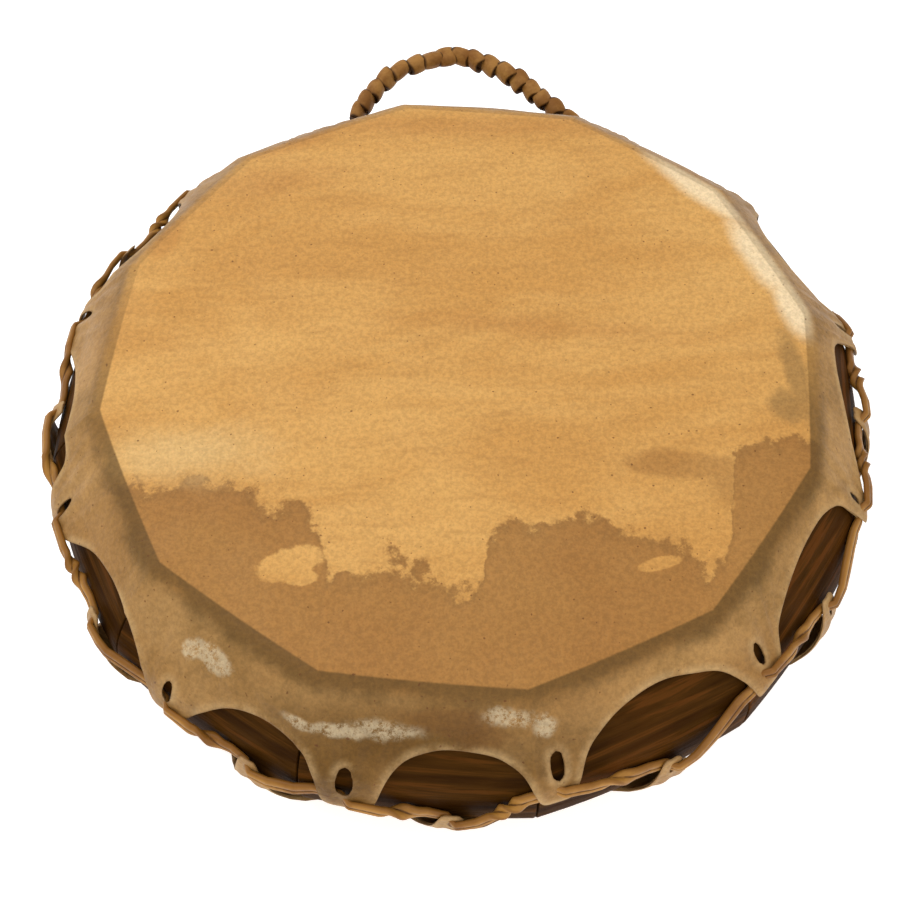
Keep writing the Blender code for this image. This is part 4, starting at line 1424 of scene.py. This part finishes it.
    def tie(self, name: str, azimuth: float, strips: Grower) -> bpy.types.Object:
        """Thong eye that holds one end of the handle to the lace.

        Args:
            name: left or right.
            azimuth: where it sits on the lace.
            strips: the strip tree.

        Returns:
            The tie.
        """
        spots, normals = self.lace.frame(np.array([azimuth]))
        middle, outward = spots[0], normals[0]
        along = unit(np.cross(outward, np.array([0.0, 0.0, 1.0])))
        upward = np.cross(along, outward)
        angle = np.linspace(0.0, 4 * math.pi, 96, endpoint=False)
        deep, high = np.cos(angle), np.sin(angle)
        size = (np.abs(deep) ** 3 + np.abs(high) ** 3) ** (1.0 / 3.0)
        points = middle + along * (self.tie_drift * np.sin(angle / 2))[:, None]
        points = points + outward * (self.tie_depth * deep / size)[:, None]
        points = points + upward * (self.tie_height * high / size)[:, None]
        away = unit(outward * deep[:, None] + upward * high[:, None])
        path = path_mesh("tie_path_" + name, points, away, np.ones(len(points)), True)
        item = strips.grow("tie_thong_" + name, path, {
            "Width": self.tie_width, "Thickness": self.tie_thickness, "Sides": 10, "Material": self.thong.material(),
        })
        return finish_piece(item, None, ("handle_tie_" + name,))


@dataclass(frozen=True)
class Studio:
    """Pale floor, soft light and the camera of the photograph."""

    eye: tuple[float, float, float] = (-0.0036, -0.4033, 0.6611)
    aim: tuple[float, float, float] = (-0.0036, 0.004, 0.049)
    lens: float = 60.0
    shift: tuple[float, float] = (-0.0020, -0.0342)
    daylight: float = 0.75
    floor_reach: float = 3.0
    floor_level: float = -0.0002
    floor_glow: float = 0.50

    def build(self) -> None:
        """Set up camera, light and floor."""
        self.camera()
        self.world()
        self.lamp("soft_key", (-0.7, 0.5, 1.5), 1.6, 14.0)
        self.lamp("soft_front", (0.5, -1.3, 1.2), 1.4, 9.0)
        self.floor()

    def camera(self) -> None:
        """The photograph's view."""
        lens = bpy.data.cameras.new("camera")
        lens.lens = self.lens
        lens.sensor_width = 36.0
        lens.shift_x, lens.shift_y = self.shift
        item = bpy.data.objects.new("camera", lens)
        item.location = self.eye
        item.rotation_euler = (Vector(self.aim) - Vector(self.eye)).to_track_quat("-Z", "Y").to_euler()
        bpy.context.scene.collection.objects.link(item)
        bpy.context.scene.camera = item

    def world(self) -> None:
        """Even light from all sides."""
        world = bpy.data.worlds.new("studio")
        world.use_nodes = True
        background = world.node_tree.nodes["Background"]
        background.inputs["Color"].default_value = (1.0, 1.0, 1.0, 1.0)
        background.inputs["Strength"].default_value = self.daylight
        bpy.context.scene.world = world
        bpy.context.scene.view_settings.view_transform = "Standard"

    def lamp(self, name: str, place: tuple[float, float, float], size: float, power: float) -> None:
        """A large square lamp that looks at the drum."""
        light = bpy.data.lights.new(name, "AREA")
        light.size = size
        light.energy = power
        item = bpy.data.objects.new(name, light)
        item.location = place
        item.rotation_euler = (Vector(self.aim) - Vector(place)).to_track_quat("-Z", "Y").to_euler()
        bpy.context.scene.collection.objects.link(item)

    def floor(self) -> None:
        """Wide pale floor just under the drum."""
        reach, level = self.floor_reach, self.floor_level
        mesh = bpy.data.meshes.new("floor")
        corners = [(-reach, -reach, level), (reach, -reach, level), (reach, reach, level), (-reach, reach, level)]
        mesh.from_pydata(corners, [], [(0, 1, 2, 3)])
        item = new_object("floor", mesh)
        made = Shading("pale_floor")
        made.shader.inputs["Emission Color"].default_value = (1.0, 1.0, 1.0, 1.0)
        made.shader.inputs["Emission Strength"].default_value = self.floor_glow
        tone = made.mix(made.noise(3.0, 2.0), (0.93, 0.93, 0.93), (0.96, 0.96, 0.96))
        mesh.materials.append(made.dress(tone, 0.9, made.relief(made.noise(200.0), 0.02 * MM)))


def main() -> None:
    """Build the drum's looks in order."""
    logging.basicConfig(level=logging.INFO, format="%(name)s: %(message)s")
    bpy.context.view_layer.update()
    Studio().build()
    Skin(Side.UPPER, UPPER_TABS, "top_head", RawhideFinish("upper_rawhide")).build()
    Skin(Side.LOWER, lower_tabs(), "bottom_head", RawhideFinish("lower_rawhide", lower_side=True)).build()
    Staves(WoodFinish("stave_wood_grain")).build()
    strips = strip_tree()
    thong = LaceFinish("lace_thong_hide")
    lace = Lace(thong)
    lace.build(strips)
    Handle(lace, GripFinish("grip_hide"), thong).build(strips)
    log.info("drum finished")


if __name__ == "__main__":
    main()
